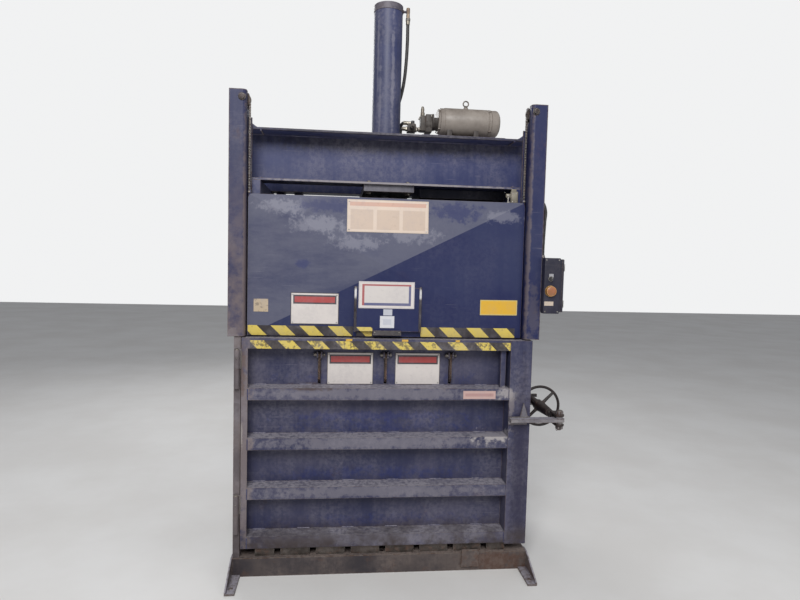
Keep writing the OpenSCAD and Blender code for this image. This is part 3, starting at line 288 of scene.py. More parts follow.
def placed(source, matrix):
    """Copy of a piece with its own mesh, set by a matrix."""
    copy = source.copy()
    copy.data = source.data.copy()
    bpy.context.collection.objects.link(copy)
    copy.matrix_world = matrix
    return settle(copy)


def cut_above(obj, height):
    """Cuts the piece off flat at a height and closes the cut."""
    shape(obj)
    bpy.ops.mesh.bisect(plane_co=(0, 0, height), plane_no=Z, use_fill=True, clear_outer=True)
    leave()
    return smooth(face_out(obj))


def mirrored(obj, name):
    """Copy of the piece on the machine's other side."""
    pick(obj)
    bpy.ops.object.duplicate()
    bpy.context.object.scale = (-1, 1, 1)
    return face_out(made(name))


def joined(name, *objects):
    pick(*objects)
    if len(objects) > 1:
        bpy.ops.object.join()
    obj = bpy.context.object
    obj.name = name
    return obj


def smooth_path(name, points):
    """Curve that runs smoothly through its points."""
    deselect()
    bpy.ops.curve.primitive_bezier_curve_add(location=(0, 0, 0))
    path = bpy.context.object
    path.name = name
    path.data.dimensions = "3D"
    line = path.data.splines[0]
    line.bezier_points.add(len(points) - 2)
    for spot, point in zip(line.bezier_points, points):
        spot.co = point
        spot.handle_left_type = spot.handle_right_type = "AUTO"
    return path


def tube(name, points, radius, sides=16):
    """Round hose along a smooth curve through its points; its radius in millimetres."""
    path = smooth_path(name, points)
    path.data.splines[0].resolution_u = 8
    path.data.bevel_depth = radius * MM
    path.data.bevel_resolution = sides // 4
    path.data.use_fill_caps = True
    pick(path)
    bpy.ops.object.convert(target="MESH")
    return smooth(face_out(bpy.context.object), 50)


def bolt(name, at, direction, across, height, washer=True):
    """Hexagon head with a turned crown and a washer; its width and height in millimetres."""
    base, direction = Vector(at), Vector(direction)
    parts = []
    if washer:
        at, base = base, base + direction * 3 * MM
        parts.append(rod("washer", at, base, across * 0.72, 28, 0.6))
    rise = direction * height * MM
    parts.append(rod("head", base, base + rise, across / 2 / math.cos(math.pi / 6), 6, 1.2))
    parts.append(rod("crown", base + rise * 0.9, base + rise * 1.06, across * 0.44, 24, 0.6))
    return joined(name, *parts)


def weld(start, end, share=1.0):
    """Row of overlapping ripples along a corner; its radius is a share of the weld size."""
    start, end = Vector(start), Vector(end)
    size = bpy.context.scene.baler_sizes.weld * share
    ripple = size * 1.7
    step = ripple * 0.86
    deselect()
    bpy.ops.mesh.primitive_cone_add(
        vertices=8, radius1=size, radius2=size * 0.76, depth=ripple, location=(0, 0, ripple / 2))
    bead = repeat(made("bead"), max(2, int((end - start).length / step)), (0, 0, step))
    return smooth(stand(bead, start, end - start), 60)


def put(obj, body, material, slot=None, *nodes):
    """Gives a finished piece its finish, its body and the nodes that it stands for; the slot argument is not used."""
    obj.data.materials.clear()
    obj.data.materials.append(material)
    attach(obj, body)
    if nodes:
        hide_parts(*nodes)
        finish_nodes(material, nodes)
    return obj


def finish_nodes(material, names):
    """Gives nodes of the frame a finish."""
    for name in names:
        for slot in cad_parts[name].material_slots:
            slot.material = material


# Shader nodes

def linear(red, green, blue):
    """Colour from 0-255 screen values."""
    def channel(value):
        value /= 255
        return value / 12.92 if value <= 0.04045 else ((value + 0.055) / 1.055) ** 2.4
    return (channel(red), channel(green), channel(blue), 1)


class Nodes:
    """Short way to add and join shader nodes."""

    def __init__(self, tree):
        self.tree = tree

    def add(self, kind, **settings):
        node = self.tree.nodes.new(kind)
        for key, value in settings.items():
            setattr(node, key, value)
        return node

    def place(self):
        return self.add("ShaderNodeTexCoord").outputs["Object"]

    def feed(self, value, socket):
        """Sets a socket from a socket, a number, a vector, or a colour in 0-255 screen values."""
        if isinstance(value, bpy.types.NodeSocket):
            self.tree.links.new(value, socket)
        elif socket.type == "RGBA" and len(value) == 3:
            socket.default_value = linear(*value)
        else:
            socket.default_value = value

    def run(self, kind, inputs, output=0, **settings):
        """Adds a node, feeds its inputs by name or number, and returns one output."""
        node = self.add(kind, **settings)
        for key, value in inputs.items():
            self.feed(value, node.inputs[key])
        return node.outputs[output]

    def math(self, operation, a, b=None, clamp=False):
        inputs = {0: a} if b is None else {0: a, 1: b}
        return self.run("ShaderNodeMath", inputs, operation=operation, use_clamp=clamp)

    def times(self, a, b, clamp=False):
        return self.math("MULTIPLY", a, b, clamp)

    def plus(self, a, b):
        return self.math("ADD", a, b)

    def minus(self, a, b):
        return self.math("SUBTRACT", a, b)

    def vector(self, operation, a, b=None):
        inputs = {0: a} if b is None else {0: a, 1: b}
        output = "Value" if operation in ("DOT_PRODUCT", "LENGTH") else 0
        return self.run("ShaderNodeVectorMath", inputs, output, operation=operation)

    def parts(self, vector):
        """Sockets X, Y and Z of a vector."""
        node = self.add("ShaderNodeSeparateXYZ")
        self.feed(vector, node.inputs[0])
        return node.outputs

    def mix(self, factor, a, b):
        """Colour a where the factor is 0 and b where it is 1."""
        return self.run("ShaderNodeMix", {"Factor": factor, 6: a, 7: b}, 2, data_type="RGBA", clamp_factor=True)

    def blend(self, factor, a, b):
        """Number a where the factor is 0 and b where it is 1."""
        return self.run("ShaderNodeMix", {"Factor": factor, 2: a, 3: b}, 0, data_type="FLOAT", clamp_factor=True)

    def noise(self, vector, scale, detail=4.0, rough=0.55):
        return self.run("ShaderNodeTexNoise",
                        {"Vector": vector, "Scale": scale, "Detail": detail, "Roughness": rough}, "Fac")

    def span(self, value, low, high, out_low=0.0, out_high=1.0):
        """Eases a value from one range to another."""
        return self.run("ShaderNodeMapRange", {
            "Value": value, "From Min": low, "From Max": high, "To Min": out_low, "To Max": out_high},
            "Result", interpolation_type="SMOOTHSTEP")

    def mapped(self, vector, scale, rotation=(0, 0, 0)):
        return self.run("ShaderNodeMapping", {"Vector": vector, "Rotation": rotation, "Scale": scale})


def new_group(name, inputs, output, *more):
    """Empty shader group with named sockets: its nodes, its input sockets and its output sockets."""
    tree = bpy.data.node_groups.new(name, "ShaderNodeTree")
    for label, value in inputs.items():
        kind = "NodeSocketVector" if isinstance(value, tuple) else "NodeSocketFloat"
        tree.interface.new_socket(name=label, in_out="INPUT", socket_type=kind).default_value = value
    tree.interface.new_socket(name=output, in_out="OUTPUT", socket_type="NodeSocketFloat")
    for label in more:
        tree.interface.new_socket(name=label, in_out="OUTPUT", socket_type="NodeSocketVector")
    n = Nodes(tree)
    return n, n.add("NodeGroupInput").outputs, n.add("NodeGroupOutput").inputs


def edge_group():
    """Mask of the object's worn edges, and the normal of its rounded corners."""
    n, take, give = new_group("Worn edges", {"Reach": 0.006, "Breakup": 18.0, "Amount": 0.5}, "Edge", "Normal")
    place = n.place()
    flat = n.add("ShaderNodeNewGeometry").outputs["Normal"]
    wide = n.run("ShaderNodeBevel", {"Radius": take["Reach"]}, samples=6)
    tight = n.run("ShaderNodeBevel", {"Radius": 0.0022}, samples=4)
    near_edge = n.span(n.vector("DOT_PRODUCT", wide, flat), 0.995, 0.86)
    grit = n.noise(place, take["Breakup"], 6.0, 0.7)
    limit = n.times(n.minus(1.0, take["Amount"]), 0.5)
    chipped = n.span(n.plus(n.times(near_edge, 0.55), n.times(grit, 0.75)), n.plus(limit, 0.45), n.plus(limit, 0.53))
    n.feed(n.times(chipped, near_edge), give["Edge"])
    n.feed(tight, give["Normal"])
    return n.tree


def dust_group():
    """Mask of dust: thick on ledges, thin in blotches and runs on upright faces."""
    n, take, give = new_group("Workshop dust", {"Ledges": 0.8, "Walls": 0.3, "Scale": 3.0}, "Dust")
    coords = n.add("ShaderNodeTexCoord").outputs
    place = coords["Object"]
    up = n.span(n.parts(coords["Normal"])["Z"], 0.35, 0.85)
    blotch = n.noise(place, take["Scale"], 5.0, 0.6)
    fine = n.noise(place, 45.0, 4.0, 0.7)
    runs = n.noise(n.mapped(place, (26, 26, 1.1)), 1.0, 4.0, 0.6)
    streaks = n.span(n.plus(n.times(blotch, 0.7), n.times(runs, 0.25)), 0.34, 0.64)
    walls = n.times(streaks, take["Walls"])
    ledges = n.times(up, n.times(take["Ledges"], n.span(blotch, 0.1, 0.6, 0.55, 1.0)))
    speckle = n.span(fine, 0.36, 0.62, 0.35, 1.1)
    n.feed(n.times(n.plus(walls, ledges), speckle, clamp=True), give["Dust"])
    return n.tree


def scuff_group():
    """Mask of fine scratches and scuffs in two directions."""
    n, take, give = new_group("Scuffs", {"Amount": 0.4}, "Scuff")
    place = n.place()
    lines = [n.span(n.noise(n.mapped(place, stretch, (0, turn, 0.1)), 1.0, 3.0, 0.6), 0.66, 0.72)
             for turn, stretch in ((0.35, (3, 3, 90)), (-0.9, (4, 4, 130)))]
    area = n.span(n.noise(place, 2.2, 3.0, 0.5), 0.45, 0.62)
    n.feed(n.times(n.times(n.math("MAXIMUM", *lines), area), take["Amount"], clamp=True), give["Scuff"])
    return n.tree


def patch_group():
    """Ragged patch around a place, for rust, bare metal and spilt paint, and also for painted shade and highlights."""
    n, take, give = new_group("Patch", {"Centre": (0, 0, 0), "Size": (0.1, 0.1, 0.1), "Ragged": 0.6}, "Patch")
    place = n.place()
    away = n.vector("DIVIDE", n.vector("SUBTRACT", place, take["Centre"]), take["Size"])
    length = n.vector("LENGTH", away)
    grit = n.minus(n.noise(place, 26.0, 6.0, 0.7), 0.5)
    n.feed(n.span(n.plus(length, n.times(grit, n.times(take["Ragged"], 3.0))), 1.15, 0.45), give["Patch"])
    return n.tree


def field_group():
    """Mask of an upright rectangle between two corners, as seen from the front."""
    n, take, give = new_group("Field", {"Low": (0, 0, 0), "High": (1, 1, 1)}, "Inside")
    place = n.place()
    margins = []
    for first, second in ((place, take["Low"]), (take["High"], place)):
        away = n.parts(n.vector("SUBTRACT", first, second))
        margins.append(n.math("MINIMUM", away["X"], away["Z"]))
    n.feed(n.span(n.math("MINIMUM", *margins), 0.0, 0.0012), give["Inside"])
    return n.tree


GROUP_MAKERS = {"edges": edge_group, "dust": dust_group, "scuffs": scuff_group, "patch": patch_group,
                "field": field_group}
GROUPS = {}


def use_group(n, name, **values):
    """Places a shared group in a material with its own values."""
    if name not in GROUPS:
        GROUPS[name] = GROUP_MAKERS[name]()
    node = n.add("ShaderNodeGroup")
    node.node_tree = GROUPS[name]
    for key, value in values.items():
        n.feed(value, node.inputs[key])
    return node.outputs


# Finishes

def surface(name):
    """New material: itself, its nodes and the sockets of its main shader."""
    material = bpy.data.materials.new(name)
    material.use_nodes = True
    return material, Nodes(material.node_tree), material.node_tree.nodes["Principled BSDF"].inputs


def bump(n, shader, height, strength, distance, normal=None):
    """Raises the surface by some millimetres, on top of a normal."""
    inputs = {"Strength": strength, "Distance": distance * MM, "Height": height}
    if normal is not None:
        inputs["Normal"] = normal
    n.feed(n.run("ShaderNodeBump", inputs), shader["Normal"])


def paint(name, coat, faded, dust_colour, ledges=0.8, walls=0.3, wear=0.5, rust=0.3, gloss=0.42,
          scuffs=0.4, scale=3.0, reach=0.006, patches=(), low_dirt=None, lean=None):
    """Old paint on steel: faded blotches, dust, scuffs, chipped edges, rust, and patches at given places.

    Each patch is a place, a size, a raggedness, a tint and a strength; low_dirt is a height where dirt is full,
    one where it ends, and its tint; the last argument is a tint with its upward and leftward shares of painted
    light, laid on faces that tip a little up or to the left as if lit from above and the left."""
    material, n, shader = surface(name)
    place = n.place()
    edges = use_group(n, "edges", Reach=reach, Amount=wear)
    dust = use_group(n, "dust", Ledges=ledges, Walls=walls, Scale=scale)["Dust"]
    scuff = use_group(n, "scuffs", Amount=scuffs)["Scuff"]
    cloud = n.noise(place, scale * 0.7, 5.0, 0.62)
    colour = n.mix(n.span(cloud, 0.36, 0.66), coat, faded)
    stain = n.span(n.noise(place, scale * 2.3, 7.0, 0.68), 0.62 - 0.12 * rust, 0.78 - 0.08 * rust)
    rusty = n.mix(n.noise(place, 60.0, 4.0, 0.7), (58, 40, 33), (104, 76, 60))
    colour = n.mix(n.times(stain, rust), colour, rusty)
    colour = n.mix(n.times(scuff, 0.6), colour, dust_colour)
    worn = n.mix(n.span(n.noise(place, 34.0, 5.0, 0.6), 0.42, 0.6), (112, 104, 100), rusty)
    colour = n.mix(edges["Edge"], colour, worn)
    # Painted light: faces that tip a little up or to the left get a paler tint, as if lit from above and the left,
    # broken up by stretched noise.
    if lean:
        tint, up_share, left_share = lean
        tip = n.parts(n.add("ShaderNodeTexCoord").outputs["Normal"])
        facet_light_noise = n.noise(n.mapped(place, (1.6, 1.0, 5.0), (0, 0.6, 0)), 1.0, 6.0, 0.66)
        facet_light_breakup = n.span(facet_light_noise, 0.3, 0.6, 0.35, 1.0)
        lit_upward = n.times(n.span(tip["Z"], 0.03, 0.085), up_share)
        lit_leftward = n.times(n.span(tip["X"], -0.02, -0.045), left_share)
        colour = n.mix(n.times(n.plus(lit_upward, lit_leftward), facet_light_breakup, clamp=True), colour, tint)
    for centre, size, ragged, tint, strength in patches:
        patch = use_group(n, "patch", Centre=centre, Size=size, Ragged=ragged)["Patch"]
        colour = n.mix(n.times(patch, strength), colour, tint)
    colour = n.mix(dust, colour, dust_colour)
    if low_dirt:
        full, end, tint = low_dirt
        level = n.span(n.parts(place)["Z"], end, full)
        grime = n.times(level, n.span(n.noise(place, 7.0, 6.0, 0.65), 0.3, 0.62))
        colour = n.mix(grime, colour, tint)
    n.feed(colour, shader["Base Color"])
    rough = n.blend(dust, n.blend(cloud, gloss - 0.06, gloss + 0.14), 0.86)
    n.feed(n.blend(edges["Edge"], rough, 0.6), shader["Roughness"])
    n.feed(n.times(edges["Edge"], 0.35), shader["Metallic"])
    shader["Specular IOR Level"].default_value = 0.3
    relief = n.plus(n.times(n.noise(place, 120.0, 3.0, 0.6), 0.35),
                    n.minus(n.times(cloud, 0.6), n.times(edges["Edge"], 0.8)))
    bump(n, shader, relief, 0.35, 1.2, edges["Normal"])
    return material


def blue(name, **change):
    """The machine's own paint, with changes."""
    look = bpy.context.scene.baler_finish
    return paint(name, **{"coat": look.coat, "faded": look.faded, "dust_colour": look.dust, **change})


def seam(name, ledges=1.0, walls=0.5, wear=0.6, rust=0.35, scale=7.0, **change):
    """Paint over weld beads and the like."""
    return blue(name, ledges=ledges, walls=walls, wear=wear, rust=rust, scale=scale, reach=0.003, **change)


def metal(name, light, dark, rough=0.42, rust=0.3, metallic=0.85, dust=0.3, grain=(90, 90, 90)):
    """Bare or plated steel with grain, dark stains, rust and a little dust."""
    material, n, shader = surface(name)
    place = n.place()
    edges = use_group(n, "edges", Reach=0.003, Amount=0.4, Breakup=40.0)
    grains = n.noise(n.mapped(place, grain), 1.0, 5.0, 0.6)
    cloud = n.noise(place, 14.0, 5.0, 0.6)
    colour = n.mix(n.span(cloud, 0.35, 0.68), light, dark)
    stain = n.times(n.span(n.noise(place, 24.0, 6.0, 0.7), 0.48, 0.66), rust)
    colour = n.mix(stain, colour, (92, 62, 46))
    colour = n.mix(n.times(edges["Edge"], 0.6), colour, (190, 186, 180))
    film = use_group(n, "dust", Ledges=dust, Walls=dust * 0.4, Scale=8.0)["Dust"]
    n.feed(n.mix(film, colour, (150, 144, 138)), shader["Base Color"])
    dull = n.math("MAXIMUM", stain, film)
    n.feed(n.blend(dull, n.blend(grains, rough - 0.1, rough + 0.12), 0.85), shader["Roughness"])
    n.feed(n.times(n.minus(1.0, dull), metallic), shader["Metallic"])
    bump(n, shader, n.plus(grains, n.times(stain, 0.7)), 0.25, 0.6, edges["Normal"])
    return material


def moulded(name, colour, worn_colour, rough=0.5, dust=0.3, coat=0.0):
    """Moulded rubber or plastic with a fine grain and dull rubbed places."""
    material, n, shader = surface(name)
    place = n.place()
    edges = use_group(n, "edges", Reach=0.002, Amount=0.45, Breakup=60.0)
    cloud = n.noise(place, 30.0, 5.0, 0.6)
    tint = n.mix(n.span(cloud, 0.4, 0.7, 0.0, 0.6), colour, worn_colour)
    tint = n.mix(n.times(edges["Edge"], 0.5), tint, worn_colour)
    film = use_group(n, "dust", Ledges=dust, Walls=dust * 0.5, Scale=9.0)["Dust"]
    n.feed(n.mix(film, tint, (140, 134, 128)), shader["Base Color"])
    n.feed(n.blend(film, n.blend(cloud, rough - 0.08, rough + 0.12), 0.85), shader["Roughness"])
    shader["Coat Weight"].default_value = coat
    bump(n, shader, n.noise(place, 260.0, 2.0, 0.5), 0.2, 0.4, edges["Normal"])
    return material


# What a user would change

def colour_choice(name, description, *screen):
    return bpy.props.FloatVectorProperty(
        name=name, description=description, subtype="COLOR", size=4, min=0, max=1, default=linear(*screen))


def length_choice(name, description, default, low, high):
    return bpy.props.FloatProperty(
        name=name, description=description, default=default, min=low, max=high, unit="LENGTH")


class BalerFinish(bpy.types.PropertyGroup):
    """Colours of the machine's paint, plates and tape."""
    coat: colour_choice("Paint", "Clean paint of the machine", 30, 39, 84)
    faded: colour_choice("Faded paint", "Paint that has gone chalky", 56, 62, 98)
    dust: colour_choice("Dust", "Workshop dust on ledges and walls", 142, 138, 146)
    dark: colour_choice("Grime", "Dark dirt near the floor", 58, 50, 50)
    tape_yellow: colour_choice("Tape yellow", "Light stripes of the hazard tape", 200, 178, 82)
    tape_black: colour_choice("Tape black", "Dark stripes of the hazard tape", 42, 36, 38)


class BalerSizes(bpy.types.PropertyGroup):
    """Sizes of the small parts, and the power of the main lamp."""
    tape_stripe: length_choice("Stripe pitch", "Length of one light and one dark stripe along the tape",
                               0.1667, 0.05, 0.4)
    tape_thickness: length_choice("Tape thickness", "How far tape stands off the steel", 0.0006, 0.0002, 0.002)
    plate_thickness: length_choice("Plate thickness", "Thickness of the plates on the doors", 0.0018, 0.0005, 0.005)
    weld: length_choice("Weld size", "Radius of the weld beads", 0.006, 0.002, 0.012)
    link_pitch: length_choice("Chain pitch", "Distance between the chain's pins", 0.015875, 0.01, 0.03)
    key_light: bpy.props.FloatProperty(
        name="Key light", description="Power of the large lamp above the front", default=600, min=0, max=2000)


# Frame and stage

class BALER_OT_paint_frame(bpy.types.Operator):
    """Gives every node of the frame that stays in sight its own worn finish"""
    bl_idname = "baler.paint_frame"
    bl_label = "Paint the frame"

    def execute(self, context):
        self.paint_doors(context.scene.baler_finish)
        self.paint_structure(context.scene.baler_finish)
        self.finish_steel(context.scene.baler_finish)
        return {"FINISHED"}

    def paint_doors(self, look):
        pale, smear = (176, 170, 166), (126, 126, 138)
        ribs = [((-0.044, FACE_Y, low + 0.04), (0.84, 0.03, 0.045), 0.9, (124, 120, 126), 0.5)
                for low in RIB_BOTTOMS]
        # Painted light: the lower half of each bay, out of the shade of the rib above, is tinted a brighter blue, and
        # the upper half stays darker as painted shade under the rib.
        lit_bay_bands = [((0.0, SKIN_Y - 0.03, low + RIB_HEIGHT + 0.045), (0.80, 0.045, 0.05), 0.9, (34, 43, 92), 0.6)
                for low in RIB_BOTTOMS]
        top_ledge = RIB_BOTTOMS[3] + RIB_HEIGHT
        finish_nodes(blue(
            "door paint", coat=(40, 43, 72), faded=(66, 65, 86), ledges=1.0, walls=0.26, scale=2.6,
            low_dirt=(0.17, 0.34, look.dark), patches=(
                *ribs, *lit_bay_bands,
                # Painted light: brighter blue on the lower half of the third bay.
                ((-0.05, SKIN_Y, 0.94), (0.55, 0.06, 0.03), 1.3, (30, 40, 94), 0.5),
                ((0.73, FACE_Y, 1.10), (0.06, 0.05, 0.04), 1.3, pale, 0.55),
                ((0.66, FACE_Y + 0.03, 0.84), (0.13, 0.06, 0.055), 1.2, pale, 0.7),
                ((0.83, FACE_Y - 0.006, 0.62), (0.07, 0.03, 0.70), 0.8, (38, 36, 58), 0.85),
                ((0.765, FACE_Y - 0.006, 1.02), (0.02, 0.02, 0.10), 1.3, (130, 122, 120), 0.5),
                ((-0.842, FACE_Y, 0.86), (0.010, 0.03, 0.08), 0.9, (205, 200, 192), 0.6),
                ((-0.82, FACE_Y, 0.76), (0.050, 0.03, 0.80), 0.7, (118, 107, 105), 0.75),
                ((-0.46, FACE_Y + 0.03, top_ledge), (0.16, 0.09, 0.02), 0.9, (62, 46, 40), 0.8),
                ((-0.84, FACE_Y, 1.25), (0.02, 0.03, 0.16), 0.9, (84, 66, 58), 0.7))), ["bale_door"])
        # Gate paint with painted light: the pyramid's upper and left facets are tinted paler, as if lit from above and
        # the left.
        finish_nodes(blue(
            "gate paint", coat=(18, 26, 70), faded=(36, 43, 78), ledges=0.6, walls=0.06, wear=0.35, rust=0.10,
            scale=1.7, scuffs=0.5, lean=((98, 99, 112), 0.55, 0.62), patches=(
                ((-0.62, RIM_Y, 2.19), (0.15, 0.08, 0.05), 1.1, smear, 0.6),
                ((-0.41, RIM_Y, 2.09), (0.17, 0.08, 0.06), 1.1, smear, 0.6),
                ((-0.20, RIM_Y, 1.99), (0.16, 0.08, 0.05), 1.1, smear, 0.55),
                ((0.13, RIM_Y, 2.04), (0.15, 0.08, 0.05), 1.2, smear, 0.5),
                ((0.68, RIM_Y, 2.17), (0.13, 0.08, 0.04), 1.1, smear, 0.5),
                ((-0.36, RIM_Y, 2.20), (0.18, 0.08, 0.045), 0.9, (32, 39, 82), 0.85),
                ((0.40, RIM_Y, 2.19), (0.17, 0.08, 0.06), 1.0, (34, 41, 84), 0.8),
                ((-0.50, RIM_Y - 0.02, 1.86), (0.05, 0.05, 0.03), 0.7, (36, 44, 92), 0.6))), ["gate_panel"])

    def paint_structure(self, look):
        pale, rust = (176, 170, 166), (74, 52, 42)
        finish_nodes(blue(
            "beam paint", ledges=1.0, walls=0.32, rust=0.2, scale=1.9, reach=0.008, patches=(
                # Dust and painted highlight along the bottom flange's front edge.
                ((0.0, GUIDE_BACK, BEAM_Z + 0.006), (0.85, 0.02, 0.010), 0.8, (150, 144, 142), 0.7),
                # Painted shade on the top flange's front edge and underside.
                ((0.0, BEAM_BOX[0][1], BEAM_TOP - 0.006), (1.10, 0.03, 0.020), 0.5, (34, 31, 40), 0.9),
                # Painted shadow of the top flange across the top of the web.
                ((0.0, FACE_Y + 0.27, BEAM_TOP - 0.030), (1.10, 0.03, 0.075), 0.4, (34, 33, 48), 0.8))),
            ["front_beam", "rear_beam"])
        finish_nodes(blue(
            "left guide paint", coat=(24, 31, 72), faded=(44, 47, 76), ledges=0.7, walls=0.18, wear=0.62, rust=0.4,
            scale=3.2, reach=0.012, low_dirt=(1.50, 2.65, (104, 93, 94)), patches=(
                ((-0.833, FACE_Y, 1.90), (0.012, 0.05, 1.10), 1.0, (106, 92, 86), 0.6),
                ((-0.90, FACE_Y, 1.45), (0.04, 0.05, 0.04), 1.0, pale, 0.4))), ["left_guide"])
        finish_nodes(blue(
            "right guide paint", coat=(20, 27, 70), faded=(36, 42, 76), ledges=0.7, walls=0.06, wear=0.62, rust=0.34,
            scale=3.2, reach=0.012, patches=(
                ((0.838, FACE_Y, 2.00), (0.013, 0.05, 1.10), 1.1, (110, 98, 92), 0.5),
                ((0.88, FACE_Y, 1.60), (0.04, 0.05, 0.20), 1.1, (90, 84, 90), 0.4))), ["right_guide"])
        finish_nodes(blue(
            "cylinder paint", coat=(40, 46, 76), walls=0.38, wear=0.3, rust=0.16, scale=2.0, gloss=0.34, patches=(
                ((0.030, 0.0, 3.05), (0.012, 0.2, 0.50), 1.0, (140, 138, 148), 0.4),
                ((-0.012, 0.0, 3.15), (0.006, 0.2, 0.60), 1.0, (58, 60, 88), 0.5),
                ((0.058, 0.0, 2.95), (0.006, 0.2, 0.55), 1.0, (52, 54, 80), 0.5),
                ((-0.066, 0.0, 3.25), (0.006, 0.2, 0.40), 1.0, (134, 132, 142), 0.35),
                ((-0.050, 0.0, 2.85), (0.010, 0.2, 0.40), 1.0, (122, 122, 134), 0.4))), ["cylinder_barrel"])
        finish_nodes(blue(
            "sill paint", coat=(50, 46, 50), faded=(76, 68, 66), ledges=0.9, walls=0.4, wear=0.8, rust=0.7, scale=4.0,
            reach=0.012, dust_colour=(118, 106, 100),
            patches=(((0.72, FACE_Y, 0.05), (0.22, 0.05, 0.08), 1.0, rust, 0.9),)),
            ["front_sill", "rear_sill", "floor_bearers"])
        finish_nodes(blue(
            "foot paint", coat=(70, 62, 60), faded=(96, 86, 80), ledges=0.9, walls=0.45, wear=0.9, rust=0.6, scale=9.0,
            patches=(((0.88, FACE_Y - 0.1, 0.03), (0.05, 0.12, 0.05), 0.9, rust, 0.9),)),
            ["front_feet", "rear_feet"])
        finish_nodes(blue("hinge paint", coat=(84, 77, 79), faded=(110, 100, 98), walls=0.35, wear=0.55, rust=0.4,
                          scale=4.0, low_dirt=(0.0, 0.4, look.dark)), ["hinge_post", "door_knuckles"])
        finish_nodes(blue("wall paint", ledges=0.9, wear=0.45, rust=0.26, scale=1.8, low_dirt=(0.0, 0.4, look.dark)),
                     ["left_wall", "right_wall", "back_wall"])
        finish_nodes(blue("mount paint", coat=(62, 62, 74), faded=(92, 90, 98), ledges=0.9, walls=0.4, scale=4.0),
                     ["cylinder_mount"])
        finish_nodes(blue("tank paint", coat=(30, 32, 50), faded=(50, 52, 70), ledges=1.0, wear=0.35, rust=0.2),
                     ["oil_tank"])

    def finish_steel(self, look):
        finish_nodes(metal("floor steel", (96, 88, 84), (58, 52, 48), rough=0.5, rust=0.6, dust=0.6,
                           grain=(12, 160, 12)), ["chamber_floor", "platen"])
        finish_nodes(metal("rod chrome", (206, 206, 210), (176, 178, 184), rough=0.14, rust=0.04, metallic=1.0,
                           dust=0.05, grain=(20, 20, 200)), ["piston_rod"])
        finish_nodes(metal("bolt steel", (150, 144, 138), (104, 98, 92), rust=0.35), ["dog_pins", "motor_shaft"])
        finish_nodes(metal("rusty dog", (78, 62, 54), (50, 38, 33), rust=0.9, rough=0.6, dust=0.2),
                     ["left_dog", "middle_dog", "right_dog"])
        finish_nodes(paint("latch grey", (96, 94, 100), (128, 124, 124), look.dust, ledges=0.7, walls=0.35, wear=0.8,
                           rust=0.5, scale=8.0, reach=0.008), ["latch_bracket"])
        finish_nodes(paint("dark steel", (40, 38, 42), (64, 60, 62), (120, 116, 116), ledges=0.6, wear=0.7,
                           rust=0.45, scale=6.0),
                     ["gate_grip", "gate_shoes", "left_counterweight", "right_counterweight", "latch_keeper"])


class BALER_OT_stage(bpy.types.Operator):
    """Sets the floor, the lamps and the camera"""
    bl_idname = "baler.stage"
    bl_label = "Set the stage"

    def execute(self, context):
        self.lay_floor()
        self.light_world(context.scene)
        self.hang_lamps(context.scene.baler_sizes.key_light)
        self.set_camera(context.scene)
        context.scene.view_settings.view_transform = "Standard"
        return {"FINISHED"}

    def lay_floor(self):
        deselect()
        bpy.ops.mesh.primitive_plane_add(size=40, location=(0, 0, 0))
        floor = made("floor")
        material, n, shader = surface("pale floor")
        cloud = n.noise(n.place(), 0.9, 5.0, 0.6)
        n.feed(n.mix(n.span(cloud, 0.3, 0.7), (222, 221, 219), (214, 212, 209)), shader["Base Color"])
        shader["Roughness"].default_value = 0.7
        floor.data.materials.append(material)

    def light_world(self, scene):
        """Soft light from all round, and a plain pale background for the camera alone."""
        scene.world = scene.world or bpy.data.worlds.new("studio")
        scene.world.use_nodes = True
        n = Nodes(scene.world.node_tree)
        soft = scene.world.node_tree.nodes["Background"]
        soft.inputs["Color"].default_value = (0.93, 0.95, 1.0, 1)
        soft.inputs["Strength"].default_value = 0.34
        plain = n.run("ShaderNodeBackground", {"Color": (0.88, 0.885, 0.89, 1), "Strength": 1.0})
        seen = n.add("ShaderNodeLightPath").outputs["Is Camera Ray"]
        both = n.run("ShaderNodeMixShader", {0: seen, 1: soft.outputs[0], 2: plain})
        n.feed(both, scene.world.node_tree.nodes["World Output"].inputs["Surface"])

    def hang_lamps(self, key_power):
        for name, spot, aim, size, power in (
                ("key", (-1.2, -7.2, 6.4), (0, -0.3, 1.3), 3.6, key_power),
                ("fill", (4.2, -4.4, 3.0), (0, -0.2, 1.4), 4.0, 60.0),
                ("rim", (-1.5, 4.6, 5.0), (0, 0.2, 1.6), 3.0, 120.0)):
            deselect()
            bpy.ops.object.light_add(type="AREA", location=spot)
            lamp = bpy.context.object
            lamp.name = name
            lamp.data.size = size
            lamp.data.energy = power
            lamp.rotation_euler = (Vector(aim) - Vector(spot)).to_track_quat("-Z", "Y").to_euler()

    def set_camera(self, scene):
        yaw, pitch, roll = (math.radians(angle) for angle in (6.077, 3.68, 1.42))
        ahead = Vector((math.sin(yaw) * math.cos(pitch), math.cos(yaw) * math.cos(pitch), -math.sin(pitch)))
        right = Vector((math.cos(yaw), -math.sin(yaw), 0))
        up = right.cross(ahead)
        side = right * math.cos(roll) + up * math.sin(roll)
        top = up * math.cos(roll) - right * math.sin(roll)
        deselect()
        bpy.ops.object.camera_add()
        camera = bpy.context.object
        camera.name = "camera"
        camera.data.sensor_width = 36
        camera.data.lens = 27
        turn = Matrix((side, top, -ahead)).transposed().to_4x4()
        camera.matrix_world = Matrix.Translation((-0.3058, -3.516 + FACE_Y, 1.8875)) @ turn
        scene.camera = camera


# Sheets and tape

